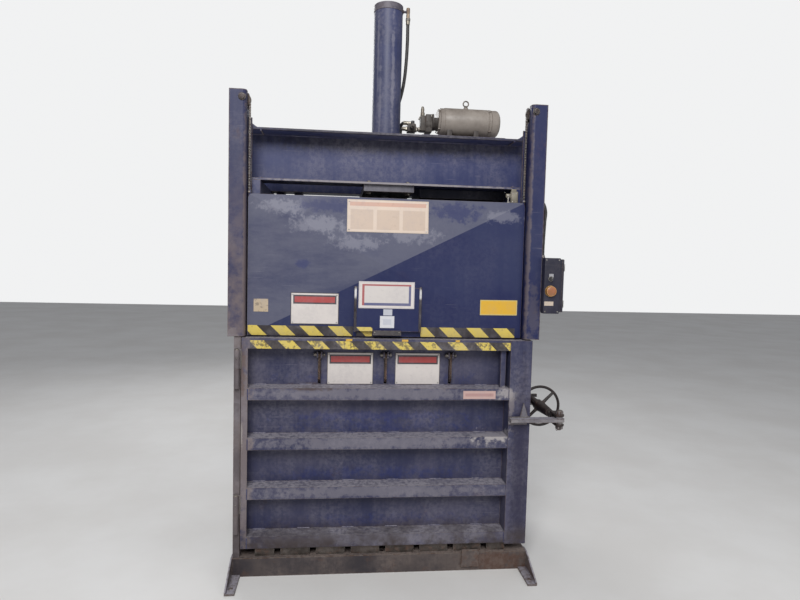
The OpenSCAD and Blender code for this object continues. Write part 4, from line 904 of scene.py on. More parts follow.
def sheet(name, spot, node, front, thickness):
    """Thin sheet pressed onto the front of a node; spot is left, right, bottom and top."""
    left, right, low, high = spot
    cell = 0.012
    deselect()
    bpy.ops.mesh.primitive_grid_add(
        x_subdivisions=max(2, round((right - left) / cell)), y_subdivisions=max(2, round((high - low) / cell)), size=1,
        location=((left + right) / 2, front, (low + high) / 2), rotation=(math.pi / 2, 0, 0))
    bpy.context.object.scale = (right - left, high - low, 1)
    obj = made(name)
    modify(obj, "SHRINKWRAP", target=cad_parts[node], wrap_method="PROJECT", wrap_mode="ABOVE_SURFACE",
           use_project_y=True, project_limit=0.2, offset=0.0004)
    modify(obj, "SOLIDIFY", thickness=thickness, offset=1)
    return smooth(obj, 20)


def sheet_finish(n, shader, colour, wear, dust):
    """Finish of tape and plates: rubbed places, dirt and dust."""
    place = n.place()
    film = use_group(n, "dust", Ledges=dust, Walls=dust, Scale=6.0)["Dust"]
    rubs = n.span(n.noise(place, 38.0, 6.0, 0.72), 0.6 - 0.16 * wear, 0.66 - 0.14 * wear)
    rubbed = n.times(rubs, wear)
    colour = n.mix(rubbed, colour, (66, 58, 52))
    n.feed(n.mix(film, colour, bpy.context.scene.baler_finish.dust), shader["Base Color"])
    n.feed(n.blend(film, n.blend(rubbed, 0.42, 0.7), 0.85), shader["Roughness"])
    bump(n, shader, n.noise(place, 70.0, 3.0, 0.6), 0.12, 0.6)


def hazard(name, phase, wear):
    """Hazard tape: slanting light and dark stripes."""
    look, pitch = bpy.context.scene.baler_finish, bpy.context.scene.baler_sizes.tape_stripe
    material, n, shader = surface(name)
    place = n.parts(n.place())
    slant = n.minus(n.plus(place["X"], place["Z"]), phase)
    turn = n.math("FRACT", n.math("DIVIDE", n.plus(slant, 20 * pitch), pitch))
    light = n.times(n.span(turn, 0.0, 0.012), n.span(turn, 0.532, 0.52))
    sheet_finish(n, shader, n.mix(light, look.tape_black, look.tape_yellow), wear, 0.3)
    return material


def printed(name, spot, ground, border=None, width=0.004, fields=(), wear=0.1, dust=0.2):
    """Plate or label with a border and plain fields of colour, given as shares of its width and height."""
    material, n, shader = surface(name)
    x0, x1, z0, z1 = spot
    colour = ground
    if border:
        inside = use_group(n, "field", Low=(x0 + width, 0, z0 + width), High=(x1 - width, 1, z1 - width))
        colour = n.mix(inside["Inside"], border, ground)
    for left, right, low, high, tint in fields:
        inside = use_group(n, "field", Low=(x0 + left * (x1 - x0), 0, z0 + low * (z1 - z0)),
                           High=(x0 + right * (x1 - x0), 1, z0 + high * (z1 - z0)))
        colour = n.mix(inside["Inside"], colour, tint)
    sheet_finish(n, shader, colour, wear, dust)
    return material


class BALER_OT_tape(bpy.types.Operator):
    """Lays the hazard tape along the gate's lower edge and the door's top channel"""
    bl_idname = "baler.tape"
    bl_label = "Lay the hazard tape"

    def execute(self, context):
        thick = context.scene.baler_sizes.tape_thickness
        front = FACE_Y - 0.04
        gate_tape = hazard("gate tape", 0.141, 0.25)
        for name, left, right in (("gate_tape_left", -0.818, -0.203), ("gate_tape_middle", -0.184, -0.090),
                                  ("gate_tape_right", 0.203, 0.784)):
            strip = sheet(name, (left, right, GATE_Z + 0.003, GATE_Z + 0.061), "gate_panel", front, thick)
            put(strip, "gate", gate_tape)
        strip = sheet("door_tape", (-0.797, 0.749, DOOR_TOP - 0.062, DOOR_TOP - 0.014), "bale_door", front, thick)
        put(strip, "door", hazard("door tape", 0.105, 0.75))
        scrap = printed("tape scrap", (0, 1, 0, 1), (200, 158, 50), wear=0.3)
        for index, (left, right) in enumerate(((-0.245, -0.208), (0.086, 0.124), (0.410, 0.436))):
            put(sheet("tape_scrap_%d" % index, (left, right, DOOR_TOP - 0.013, DOOR_TOP - 0.001), "bale_door",
                      front, thick), "door", scrap)
        return {"FINISHED"}


def plate_list():
    """Each plate's name, body, node, place (left, right, bottom, top) and look."""
    white, red, ink, cream, pale = (202, 195, 190), (160, 62, 60), (64, 58, 62), (198, 180, 164), (184, 164, 147)
    notice = dict(ground=white, border=ink, width=0.0035, fields=(
        (0.05, 0.95, 0.64, 0.93, ink), (0.08, 0.92, 0.69, 0.88, red)))
    columns = [(left, left + 0.28, 0.08, 0.7, pale) for left in (0.04, 0.36, 0.68)]
    gate, door = ("gate", "gate_panel"), ("door", "bale_door")
    return (
        ("instruction_plate", *gate, (-0.251, 0.231, 2.054, 2.245), dict(
            ground=cream, border=(184, 168, 152), fields=((0.03, 0.97, 0.8, 0.93, (186, 148, 130)), *columns))),
        ("gate_notice", *gate, (-0.571, -0.290, 1.505, 1.692), notice),
        ("centre_plate", *gate, (-0.175, 0.156, 1.607, 1.766), dict(
            ground=white, border=(188, 182, 182), width=0.006, fields=(
                (0.06, 0.94, 0.1, 0.9, (156, 84, 84)), (0.1, 0.94, 0.1, 0.84, (86, 88, 122)),
                (0.1, 0.9, 0.2, 0.84, (194, 188, 184))))),
        ("paper_tag", *gate, (-0.046, 0.039, 1.491, 1.562), dict(
            ground=(196, 196, 200), fields=((0.2, 0.8, 0.25, 0.75, (178, 180, 188)),))),
        ("paper_tab", *gate, (-0.027, 0.026, 1.566, 1.602), dict(ground=(176, 178, 186))),
        ("yellow_plate", *gate, (0.561, 0.794, 1.575, 1.667), dict(
            ground=(204, 158, 34), border=(190, 170, 104), width=0.005)),
        ("label_remnant", *gate, (-0.785, -0.701, 1.575, 1.650), dict(ground=(176, 158, 132), wear=0.5, dust=0.5)),
        ("door_notice_left", *door, (-0.354, -0.074, 1.133, 1.330), notice),
        ("door_notice_right", *door, (0.059, 0.338, 1.133, 1.330), notice),
        ("rib_label", *door, (0.467, 0.666, 1.068, 1.117), dict(
            ground=(180, 150, 143), fields=((0.06, 0.94, 0.3, 0.7, (164, 130, 126)),), dust=0.45)),
        ("cover_label", "frame", "control_cover", (0.930, 0.986, 1.645, 1.670), dict(ground=(184, 168, 152))),
    )


def gate_front(x, z):
    """Depth of the gate's front: a shallow pyramid on its rim."""
    rise = min(1 - abs(x) / GATE_HALF, 1 - abs(z - GATE_Z - GATE_HEIGHT / 2) / (GATE_HEIGHT / 2))
    return RIM_Y - 0.042 * rise


class BALER_OT_plates(bpy.types.Operator):
    """Fixes the bare plates and labels, with plain fields of colour"""
    bl_idname = "baler.plates"
    bl_label = "Fix the plates"

    def execute(self, context):
        thick = context.scene.baler_sizes.plate_thickness
        rivets = {"gate": [], "door": []}
        for name, body, node, spot, look in plate_list():
            front = SKIN_Y - 0.03 if "door_notice" in name else FACE_Y - 0.065
            piece = sheet(name, spot, node, front, thick if "notice" in name or "plate" in name else 0.0006)
            put(piece, body, printed(name.replace("_", " "), spot, **look))
        for name, body, node, (x0, x1, z0, z1), look in plate_list():
            if "notice" not in name and name != "instruction_plate":
                continue
            for x in (x0 + 0.012, x1 - 0.012):
                for z in (z0 + 0.012, z1 - 0.012):
                    skin = SKIN_Y if body == "door" else gate_front(x, z)
                    rivets[body].append(turned("rivet", ((4.5, -2), (4.5, 0.8), (3.6, 2), (1.8, 2.6)),
                                               (x, skin - thick, z), -Y, 12))
        steel = metal("rivet steel", (188, 186, 184), (150, 146, 142), rust=0.15)
        for body, heads in rivets.items():
            put(joined(body + "_plate_rivets", *heads), body, steel)
        return {"FINISHED"}


# Chains, wheels and axles

def link_plate(y, pitch):
    """Side plate of a link between two pins, with a waist: a disc pulled apart and pinched."""
    thick, hair = 0.0016, 0.0002
    plate = rod("plate", (0, y, 0), (0, y + thick, 0), 5.25, 16, 0)
    for side in (1, -1):
        shape_corners(plate, lambda place: place.z * side > hair)
        bpy.ops.transform.translate(value=(0, 0, side * pitch / 2))
        leave()
    shape_corners(plate, lambda place: abs(place.z) < hair)
    bpy.ops.transform.resize(value=(0.68, 1, 1), center_override=(0, y + thick / 2, 0))
    leave()
    return smooth(plate, 40)


def link(outer, pitch):
    """One link on its own centre: two plates, and the pin and roller at its lower end."""
    y = 0.0069 if outer else 0.0051
    low = -pitch / 2
    return joined("link", link_plate(y, pitch), link_plate(-y - 0.0016, pitch),
                  rod("pin", (0, -0.0098, low), (0, 0.0098, low), 2.4, 8, 0),
                  rod("roller", (0, -0.0049, low), (0, 0.0049, low), 4.3, 10, 0))


def chain(name, x, low, high, pitch):
    """Straight run of links that alternate between inner and outer plates."""
    inner, outer = link(False, pitch), link(True, pitch)
    outer.location = (0, 0, pitch)
    strand = joined(name, inner, settle(outer))
    repeat(strand, int((high - low) / (2 * pitch)), (0, 0, 2 * pitch))
    strand.location = (x, CHAIN_Y, low + pitch / 2)
    return settle(strand)


class BALER_OT_chains(bpy.types.Operator):
    """Hangs the lifting chains, link by link, over their wheels"""
    bl_idname = "baler.chains"
    bl_label = "Hang the chains"

    def execute(self, context):
        pitch = context.scene.baler_sizes.link_pitch
        steel = metal("link steel", (64, 53, 47), (38, 31, 29), rust=0.6, rough=0.4, metallic=0.6, dust=0.15)
        lug_top, bottom = GATE_BOX[1][2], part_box("weight_chains")[0][2]
        for side, label in ((1, "right"), (-1, "left")):
            strand = chain("lifting_chain_" + label, side * CHAIN_IN, lug_top - 0.004, CHAIN_Z, pitch)
            put(strand, "frame", steel, "chain_steel", "lifting_chains")
            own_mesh(strand)
            strand = chain("weight_chain_" + label, side * (CHAIN_X + CHAIN_R), bottom, CHAIN_Z, pitch)
            put(strand, "frame", steel, "chain_steel", "weight_chains")
        arc = []
        for index in range(7):
            angle = math.radians(12) + pitch / CHAIN_R * (index - 0.5)
            piece = link(index % 2 == 0, pitch)
            piece.matrix_world = (Matrix.Translation((CHAIN_X, CHAIN_Y, CHAIN_Z)) @ Matrix.Rotation(-angle, 4, "Y")
                                  @ Matrix.Translation((CHAIN_R * 0.975, 0, 0)))
            arc.append(settle(piece))
        wrap = joined("chain_wrap_right", *arc)
        for piece in (wrap, mirrored(wrap, "chain_wrap_left")):
            put(piece, "frame", steel, "chain_steel", "chain_wraps")
        return {"FINISHED"}


class BALER_OT_wheels(bpy.types.Operator):
    """Turns the chain wheels with their groove and rivets, and the axle bolts with spacers and nuts"""
    bl_idname = "baler.wheels"
    bl_label = "Turn the chain wheels"

    def execute(self, context):
        half = (WHEEL[1][1] - WHEEL[0][1]) / 2 / MM
        rim, step, low = 40.5, 27, 30
        front = ((10.2, -half), (19, -half), (20, 1 - half), (rim - 1, 1 - half), (rim, 2 - half), (rim, 4 - half),
                 (step, 4.2 - half), (step, -4.6), (low, -4.4))
        back = [(radius, -height) for radius, height in reversed(front)]
        hub = near(CHAIN_X, CHAIN_Y, CHAIN_Z)
        wheel = turned("chain_wheel_right", (*front, *back), hub(), Y, 40)
        for degrees in (90, 210, 330):
            right, up = polar(23.5, degrees)
            rivet = rod("rivet", hub(right, -half - 0.4, up), hub(right, half + 0.4, up), 2.8, 10, 0.5)
            wheel = joined("chain_wheel_right", wheel, rivet)
        cast = metal("wheel casting", (72, 62, 56), (44, 37, 34), rust=0.6, rough=0.5, metallic=0.5, dust=0.2)
        other = mirrored(wheel, "chain_wheel_left")
        put(wheel, "right_wheel", cast, "cast_grey", "right_chain_wheel")
        put(other, "left_wheel", cast, "cast_grey", "left_chain_wheel")

        front, back = near(CHAIN_X, FACE_Y, CHAIN_Z), near(CHAIN_X, GUIDE_BACK, CHAIN_Z)
        axle = joined(
            "wheel_axle_right",
            bolt("head", front(), -Y, 30, 10),
            rod("shank", front(0, -2), back(0, 22), 9.8, 24),
            rod("spacer", front(0, 16), hub(0, -half - 0.8), 13.8, 24, 0.8),
            rod("spacer", hub(0, half + 0.8), back(0, -6.2), 13.8, 24, 0.8),
            bolt("nut", back(), Y, 30, 10))
        steel = metal("axle steel", (58, 49, 50), (38, 32, 34), rust=0.5, rough=0.5, metallic=0.4, dust=0.2)
        for piece in (axle, mirrored(axle, "wheel_axle_left")):
            put(piece, "frame", steel, "bolt_steel", "wheel_axles")
        return {"FINISHED"}


# Latch

class BALER_OT_latch(bpy.types.Operator):
    """Builds the latch: fork, threaded screw with its sleeve, and the spoked handwheel"""
    bl_idname = "baler.latch"
    bl_label = "Build the latch"

    def execute(self, context):
        x, z = middle("handwheel", 0), middle("handwheel", 2)
        pin, hub = near(x, FACE_Y - 0.038, z), near(x, FACE_Y + 0.32, z)
        enamel = paint("wheel enamel", (26, 21, 22), (42, 34, 34), (84, 74, 70), ledges=0.45, walls=0.2, rust=0.5,
                       scale=10.0, gloss=0.3, reach=0.005)
        self.build_wheel(hub, enamel)
        self.turn_screw(pin, hub)
        self.forge_fork(pin, enamel)
        steel = metal("pin steel", (98, 92, 90), (60, 54, 54), rust=0.5)
        self.fit_pin(pin, steel)
        self.weld_bracket(z, steel)
        return {"FINISHED"}

    def build_wheel(self, hub, enamel):
        low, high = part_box("handwheel")
        radius = (high[0] - low[0]) / 2 / MM
        parts = [
            turned("hub", ((17, -190), (24, -188), (26, -184), (33.5, -52), (33.5, -24), (36, -21), (36, 36), (33, 39),
                           (28, 40), (28, 175), (25, 178), (16, 178)), hub(), Y, 40),
            ring("rim", hub(), Y, radius - 9, 9, 64, 14)]
        for degrees in (45, 135, 225, 315):
            right, up = polar(1, degrees)
            foot, tip, root = (hub(right * reach, 0, up * reach) for reach in (24, radius - 10, 36))
            parts.append(rod("spoke", foot, tip, 11.5, 16, 0, 8.5))
            parts.append(ring("root", root, (right, 0, up), 10.5, 3, 16, 8))
        parts.append(bolt("set_screw", hub(0, 8, 35.5), Z, 10, 5, False))
        put(joined("handwheel", *parts), "wheel", enamel, "wheel_black", "handwheel")

    def turn_screw(self, pin, hub):
        pitch = 0.004
        end = near(hub()[0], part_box("handwheel")[1][1], hub()[2])
        deselect()
        bpy.ops.mesh.primitive_circle_add(
            vertices=3, radius=0.002, location=(0.0142, 0, 0), rotation=(math.pi / 2, 0, 0))
        thread = made("thread")
        modify(thread, "SCREW", screw_offset=pitch, iterations=int((end()[1] - hub(0, 186)[1]) / pitch), steps=20,
               render_steps=20, use_merge_vertices=True, merge_threshold=0.0002)
        face_out(stand(thread, hub(0, 180), Y))
        screw = joined(
            "latch_screw", smooth(thread, 40),
            rod("core", pin(0, 94), end(0, -4), 14.2, 28),
            rod("journal", pin(0, 58), pin(0, 96), 10.8, 28, 0),
            turned("tip", ((15, 0), (15, 10), (11, 14)), end(0, -14), Y, 28),
            turned("collar", ((11, 0), (18, 0), (19, 1), (19, 12), (18, 13), (11, 13)), pin(0, 48), Y, 32),
            bolt("journal_nut", pin(0, 48), -Y, 24, 8, False))
        put(screw, "wheel", metal("thread steel", (118, 112, 106), (70, 64, 60), rough=0.36, rust=0.45, dust=0.25),
            "wheel_black", "handwheel")

    def forge_fork(self, pin, enamel):
        parts = []
        for low, washer in ((23.5, 36), (-35.5, -36)):
            parts.append(slab("ear", pin(-28, 0, low), pin(28, 92, low + 12), 2.5, 3))
            parts.append(rod("boss", pin(0, 0, low), pin(0, 0, low + 12), 28, 40, 2))
            parts.append(ring("washer", pin(0, 0, washer), Z, 16.5, 2, 32, 8))
        parts.append(slab("bridge", pin(-28, 62, -34.5), pin(28, 92, 34.5), 3, 3))
        put(joined("latch_fork", *parts), "latch", enamel, "latch_grey", "latch_fork")

    def fit_pin(self, pin, steel):
        reach = 36
        parts = []
        for side in (1, -1):
            split = side * (reach + 21.5)
            parts += [
                bolt("pin_nut", pin(0, 0, side * reach), Z * side, 39.5, 18.5, False),
                turned("pin_end", ((12.2, 0), (12.2, 8), (10, 11), (4, 12)), pin(0, 0, side * (reach + 14.5)),
                       Z * side, 28),
                ring("split_pin", pin(-16, -6, split), X + Y * 0.6, 5.5, 1.6, 20, 6),
                rod("leg", pin(-12, -4, split), pin(20, 6, split), 1.6, 8, 0)]
        put(joined("latch_pin_fittings", *parts), "door", steel)

    def weld_bracket(self, z, steel):
        face = near(0, FACE_Y, z)
        beads = [weld(face(752, -19, up), face(882, -7.5, up), 0.7) for up in (11.5, -11.5)]
        beads.append(weld(face(820, -19, 10.5), face(868, -19, 10.5), 0.7))
        put(joined("latch_welds", *beads), "door", steel)


# Doors

class BALER_OT_door_fittings(bpy.types.Operator):
    """Adds the door's stitch welds, hinge caps, grease nipples and the dogs' pin ends"""
    bl_idname = "baler.door_fittings"
    bl_label = "Fit out the door"

    def execute(self, context):
        steel = metal("fitting steel", (142, 136, 130), (92, 86, 80), rust=0.45)
        beads = []
        for low in RIB_BOTTOMS:
            top = low + RIB_HEIGHT
            for index in range(6):
                left = RIB_LEFT + 0.05 + index * 0.27
                beads.append(weld((left, SKIN_Y, top), (left + 0.075, SKIN_Y, top), 0.75))
                beads.append(weld((left + 0.06, SKIN_Y, low), (left + 0.135, SKIN_Y, low), 0.75))
            for x in (RIB_LEFT + 0.029, RIB_RIGHT):
                beads.append(weld((x, FACE_Y, low + 0.002), (x, FACE_Y, top - 0.002), 0.6))
        put(joined("door_welds", *beads), "door", seam("seam paint", wear=0.75, rust=0.4))
        put(joined("dog_pin_ends", *(
            bolt("pin_end", (x + side * 0.0255, SKIN_Y - 0.020, DOG_PIN_Z), X * side, 19, 6)
            for x in DOG_X for side in (1, -1))), "door", steel)
        parts = []
        for top in HINGE_TOPS:
            barrel, edge = near(HINGE_X, FACE_Y, top), near(HINGE_X + 0.024, FACE_Y, top)
            parts += [
                turned("cap", ((14.8, -2), (14.8, 0), (13.5, 3), (8, 6), (2, 7)), barrel(0, -8), Z, 28),
                turned("nipple", ((3.5, -2), (3.5, 3), (2.2, 4), (2.8, 6), (1.5, 8)), barrel(0, -23, -50), -Y, 12),
                weld(edge(0, -1, -108), edge(0, -1, -4), 0.6)]
        put(joined("hinge_fittings", *parts), "door", steel)
        return {"FINISHED"}


class BALER_OT_gate_fittings(bpy.types.Operator):
    """Adds the gate's worn upright bars with a painted highlight near their tops, the chain anchors, the grip's screws
    and the welds
    """
    bl_idname = "baler.gate_fittings"
    bl_label = "Fit out the gate"

    def execute(self, context):
        for side, label in ((1, "right"), (-1, "left")):
            x0, x1 = sorted((side * 0.1865, side * 0.1995))
            bar = slab("gate_bar_" + label, (x0, RIM_Y - 0.040, 1.468), (x1, RIM_Y - 0.006, 1.736))
            # Painted highlight: a bright patch near the top of each bar.
            worn = ((side * 0.193, RIM_Y - 0.04, 1.697), (0.02, 0.02, 0.034), 0.5, (196, 194, 194), 1.0)
            put(bar, "gate", paint("bar paint " + label, (34, 29, 32), (64, 60, 66), (120, 116, 116), ledges=0.5,
                                   wear=0.6, rust=0.5, scale=14.0, reach=0.004, patches=(worn,)))
        parts = []
        for side in (1, -1):
            anchor = near(side * CHAIN_IN, CHAIN_Y, GATE_BOX[1][2] - 0.012)
            parts += [rod("anchor_pin", anchor(0, -17), anchor(0, 15), 4.2, 16, 0.6),
                      turned("anchor_head", ((7.5, 0), (7.5, 2), (5, 3.5)), anchor(0, -13), -Y, 20),
                      ring("clip", anchor(0, 14.5), Y, 6.2, 1.2, 20, 6)]
        parts += [bolt("grip_screw", (x, FACE_Y + 0.004, GATE_Z + 0.030), -Y, 10, 3.5, False) for x in (-0.076, 0.068)]
        put(joined("gate_fasteners", *parts), "gate", metal("gate steel", (138, 132, 126), (88, 82, 78), rust=0.45))
        y, top, low = CHAIN_Y - 0.012, GATE_Z + GATE_HEIGHT - 0.012, GATE_Z + 0.006
        beads = [weld((x, y, GATE_BOX[1][2] - 0.128), (x, y, top), 0.7)
                 for x in (GATE_HALF - 0.0165, 0.0165 - GATE_HALF)]
        beads += [weld((left, RIM_Y + 0.0415, low), (left + 0.06, RIM_Y + 0.0415, low), 0.7)
                  for left in (-0.70, -0.42, -0.14, 0.14, 0.42, 0.66)]
        put(joined("gate_welds", *beads), "gate", seam("gate seam paint", ledges=0.8, walls=0.4))
        return {"FINISHED"}


# Cylinder and power unit

BY_MOTOR = near(MOTOR_X, MOTOR_Y, MOTOR_Z)
BY_FAN = near(FAN_X, MOTOR_Y, MOTOR_Z)
FERRULE = ((8.5, -2), (12.5, -1), (13.5, 1), (13.5, 5), (12.5, 7), (13.5, 9), (13.5, 13), (12.5, 15), (13.5, 17),
           (13.5, 21), (12, 23))


def around(source, radius):
    """Four copies of a piece in a circle about the motor's axis; the source stands at the centre."""
    axis = near(0, MOTOR_Y, MOTOR_Z)
    copies = [placed(source, Matrix.Translation(axis(0, *polar(radius, degrees)))) for degrees in (45, 135, 225, 315)]
    bpy.data.objects.remove(source)
    return copies


class BALER_OT_cylinder(bpy.types.Operator):
    """Turns the press cylinder's cap, ports and seams, and adds its bolts and the beams' welds"""
    bl_idname = "baler.cylinder"
    bl_label = "Turn the cylinder"

    def execute(self, context):
        coat = blue("cap paint", coat=(58, 56, 70), faded=(88, 82, 88), scale=9.0, gloss=0.34, reach=0.004)
        steel = metal("press steel", (148, 142, 136), (98, 92, 86), rust=0.35)
        axis_cap, port = near(0, PRESS_Y, CAP_Z), near(HOSE_X, PRESS_Y, PORT_Z)
        cap = turned("cap", ((60, 0), (92.5, 0), (95, 2), (95, 39), (92.2, 42), (40, 42), (38, 40.5), (12, 40.5)),
                     axis_cap(), Z, 72)
        nipple = turned("nipple", ((12.5, -4), (12.5, 4), (8, 6), (8, 34)), port(-34), X, 24)
        put(joined("cylinder_cap", cap, nipple), "frame", coat, "cylinder_blue", "cylinder_cap")
        elbow = turned("elbow", ((11.2, 0), (12, 1), (12, 26), (10.5, 28), (10.5, 32), (12.5, 34), (12.5, 58),
                                 (11.5, 66), (8.5, 68)), port(0, 0, -42), Z, 32)
        put(elbow, "frame", metal("elbow brass", (150, 132, 112), (112, 94, 80), rust=0.35, rough=0.45, metallic=0.5))
        put(joined("cylinder_fittings",
                   bolt("swivel", port(0, 0, -41), -Z, 29.5, 16, False),
                   turned("low_fitting", ((16, 0), (17, 1), (17, 10), (15, 12)),
                          (BARREL_R + 0.0115, PRESS_Y, LOW_PORT_Z), X, 6)), "frame", steel)
        put(joined("cylinder_seams",
                   ring("cap_seam", axis_cap(), Z, 93.8, 2.2, 64, 8),
                   ring("flange_seam", (0, PRESS_Y, BEAM_Z + 0.021), Z, 95, 4.5, 64, 8)), "frame", coat)
        parts = []
        for x in (-0.120, 0.120):
            for y in (FACE_Y + 0.201, PRESS_Y * 2 - FACE_Y - 0.201):
                web = near(x, y, BEAM_Z)
                parts += [bolt("head", web(0, 0, -40), -Z, 31, 9.5), bolt("head", web(0, 0, 12), Z, 31, 9.5),
                          rod("stud", web(0, 0, -45), web(0, 0, 29), 9.8, 24)]
        put(joined("mount_bolts", *parts), "frame", steel, "bolt_steel", "mount_bolts")
        self.weld_beams()
        return {"FINISHED"}

    def weld_beams(self):
        beads = [weld((-0.855, y, z), (0.855, y, z))
                 for y in (FACE_Y + 0.270, FACE_Y + 0.282) for z in (BEAM_Z + 0.012, BEAM_TOP - 0.012)]
        gusset = near(0, GUIDE_BACK + 0.011, BEAM_TOP + 0.001)
        for side in (1, -1):
            for z in (BEAM_Z + 0.016, BEAM_TOP - 0.016):
                post = near(side * 0.7625, GUIDE_BACK, z)
                beads.append(weld(post(0, 1), post(0, 140), 0.8))
            beads.append(weld(gusset(side * 788), gusset(side * 868), 0.8))
        put(joined("beam_welds", *beads), "frame", seam("beam seam paint"))


class BALER_OT_motor(bpy.types.Operator):
    """Turns the motor's bells and shell, its ringed fan cover, terminal box, bare plate, eye bolt and feet"""
    bl_idname = "baler.motor"
    bl_label = "Build the motor"

    def execute(self, context):
        grey = paint("motor enamel", (148, 140, 132), (126, 118, 111), (104, 94, 86), ledges=0.55, walls=0.4,
                     wear=0.35, rust=0.14, scale=7.0, gloss=0.34, reach=0.004)
        steel = metal("motor steel", (126, 120, 114), (84, 78, 72), rust=0.5)
        self.turn_shell(grey)
        self.drive_screws(steel)
        plate = slab("motor_plate", BY_MOTOR(160, 123.8, -22), BY_MOTOR(204, 125.2, 14), 0.4, 1)
        put(plate, "frame", metal("plate alloy", (182, 180, 176), (150, 148, 144), rust=0.05, rough=0.38))
        self.turn_fan_cover(grey)
        eye = near(EYE_X, MOTOR_Y, MOTOR_Z + 0.097)
        put(joined("lifting_eye",
                   turned("collar", ((13, 0), (14, 1), (14, 5), (10, 7.5), (8.5, 12), (7.5, 16)), eye(), Z, 32),
                   ring("eye", eye(0, 0, 29), Y, 18, 4.4, 40, 14)), "frame", steel, "bolt_steel", "lifting_eye")
        self.set_feet()
        return {"FINISHED"}

    def turn_shell(self, grey):
        length = (FAN_X - MOTOR_X) / MM
        shell = turned("shell", (
            (34, 0), (76, 0), (81, 4), (81, 13), (85, 14), (88, 18), (88, 43), (89.5, 44), (91, 47), (91, length - 24),
            (88.5, length - 22), (88.5, length - 18), (91, length - 16), (91, length - 3), (88, length),
            (30, length)), BY_MOTOR(), X, 72)
        pad = turned("eye_pad", ((17.2, -20), (17.2, 4), (16, 5.8)), (EYE_X, MOTOR_Y, MOTOR_Z + 0.091), Z, 32)
        box = slab("terminal_box", BY_MOTOR(130, 60, -46), BY_MOTOR(230, 117, 46), 5, 3)
        lid = slab("terminal_lid", BY_MOTOR(128, 117, -48), BY_MOTOR(232, 124, 48), 3)
        put(joined("motor_shell", shell, pad, box, lid), "frame", grey, "motor_grey", "motor_shell")

    def drive_screws(self, steel):
        near_bell = rod("bell_bolt", (MOTOR_X - 0.001, 0, 0), (MOTOR_X + 0.018, 0, 0), 5.5, 6, 0.8)
        screws = around(near_bell, 82.5)
        far_bell = rod("bell_bolt", (FAN_X - 0.021, 0, 0), (FAN_X - 0.006, 0, 0), 5, 12, 0.8)
        screws += around(far_bell, 90.5)
        screws += [turned("screw", ((4.2, 0), (4.2, 1.5), (2, 2.8)), BY_MOTOR(right, 124, up), Y, 14)
                   for right in (140, 220) for up in (-38, 38)]
        put(joined("motor_screws", *screws), "frame", steel)

    def turn_fan_cover(self, grey):
        parts = [turned("cover", ((86, 0), (89, 0), (89.5, 3), (88.5, 6), (89, 34), (87, 42), (82, 49), (74, 55),
                                  (64, 57.5), (64, 54), (60, 54), (20, 54)), BY_FAN(), X, 72)]
        parts += [ring("grille", BY_FAN(58.5), X, radius, 1.4, 48, 6) for radius in (14, 24, 34, 44, 54, 64)]
        parts += [rod("spoke", BY_FAN(56.8, *polar(12, degrees)), BY_FAN(56.8, *polar(68, degrees)), 1.4, 8, 0)
                  for degrees in range(30, 390, 60)]
        parts.append(turned("boss", ((13.5, 0), (13.5, 5), (11, 7)), BY_FAN(53.5), X, 28))
        put(joined("motor_fan_cover", *parts), "frame", grey, "motor_grey", "motor_fan_cover")

    def set_feet(self):
        low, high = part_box("motor_mount")
        floor = low[2]
        parts = [slab("base", low, (high[0], high[1], floor + 0.010))]
        for x in (MOTOR_X + 0.060, MOTOR_X + 0.240):
            parts.append(slab("saddle", (x, MOTOR_Y - 0.066, floor + 0.009),
                              (x + 0.034, MOTOR_Y + 0.066, MOTOR_Z - 0.061)))
            parts += [bolt("foot_bolt", (x + 0.017, y, floor + 0.010), Z, 13, 7)
                      for y in (MOTOR_Y - 0.076, MOTOR_Y + 0.076)]
        put(joined("motor_feet", *parts), "frame",
            blue("saddle paint", coat=(46, 42, 42), faded=(66, 60, 58), dust_colour=(96, 88, 82), walls=0.4, wear=0.6,
                 rust=0.35, scale=6.0, reach=0.003), "tank_blue", "motor_mount")


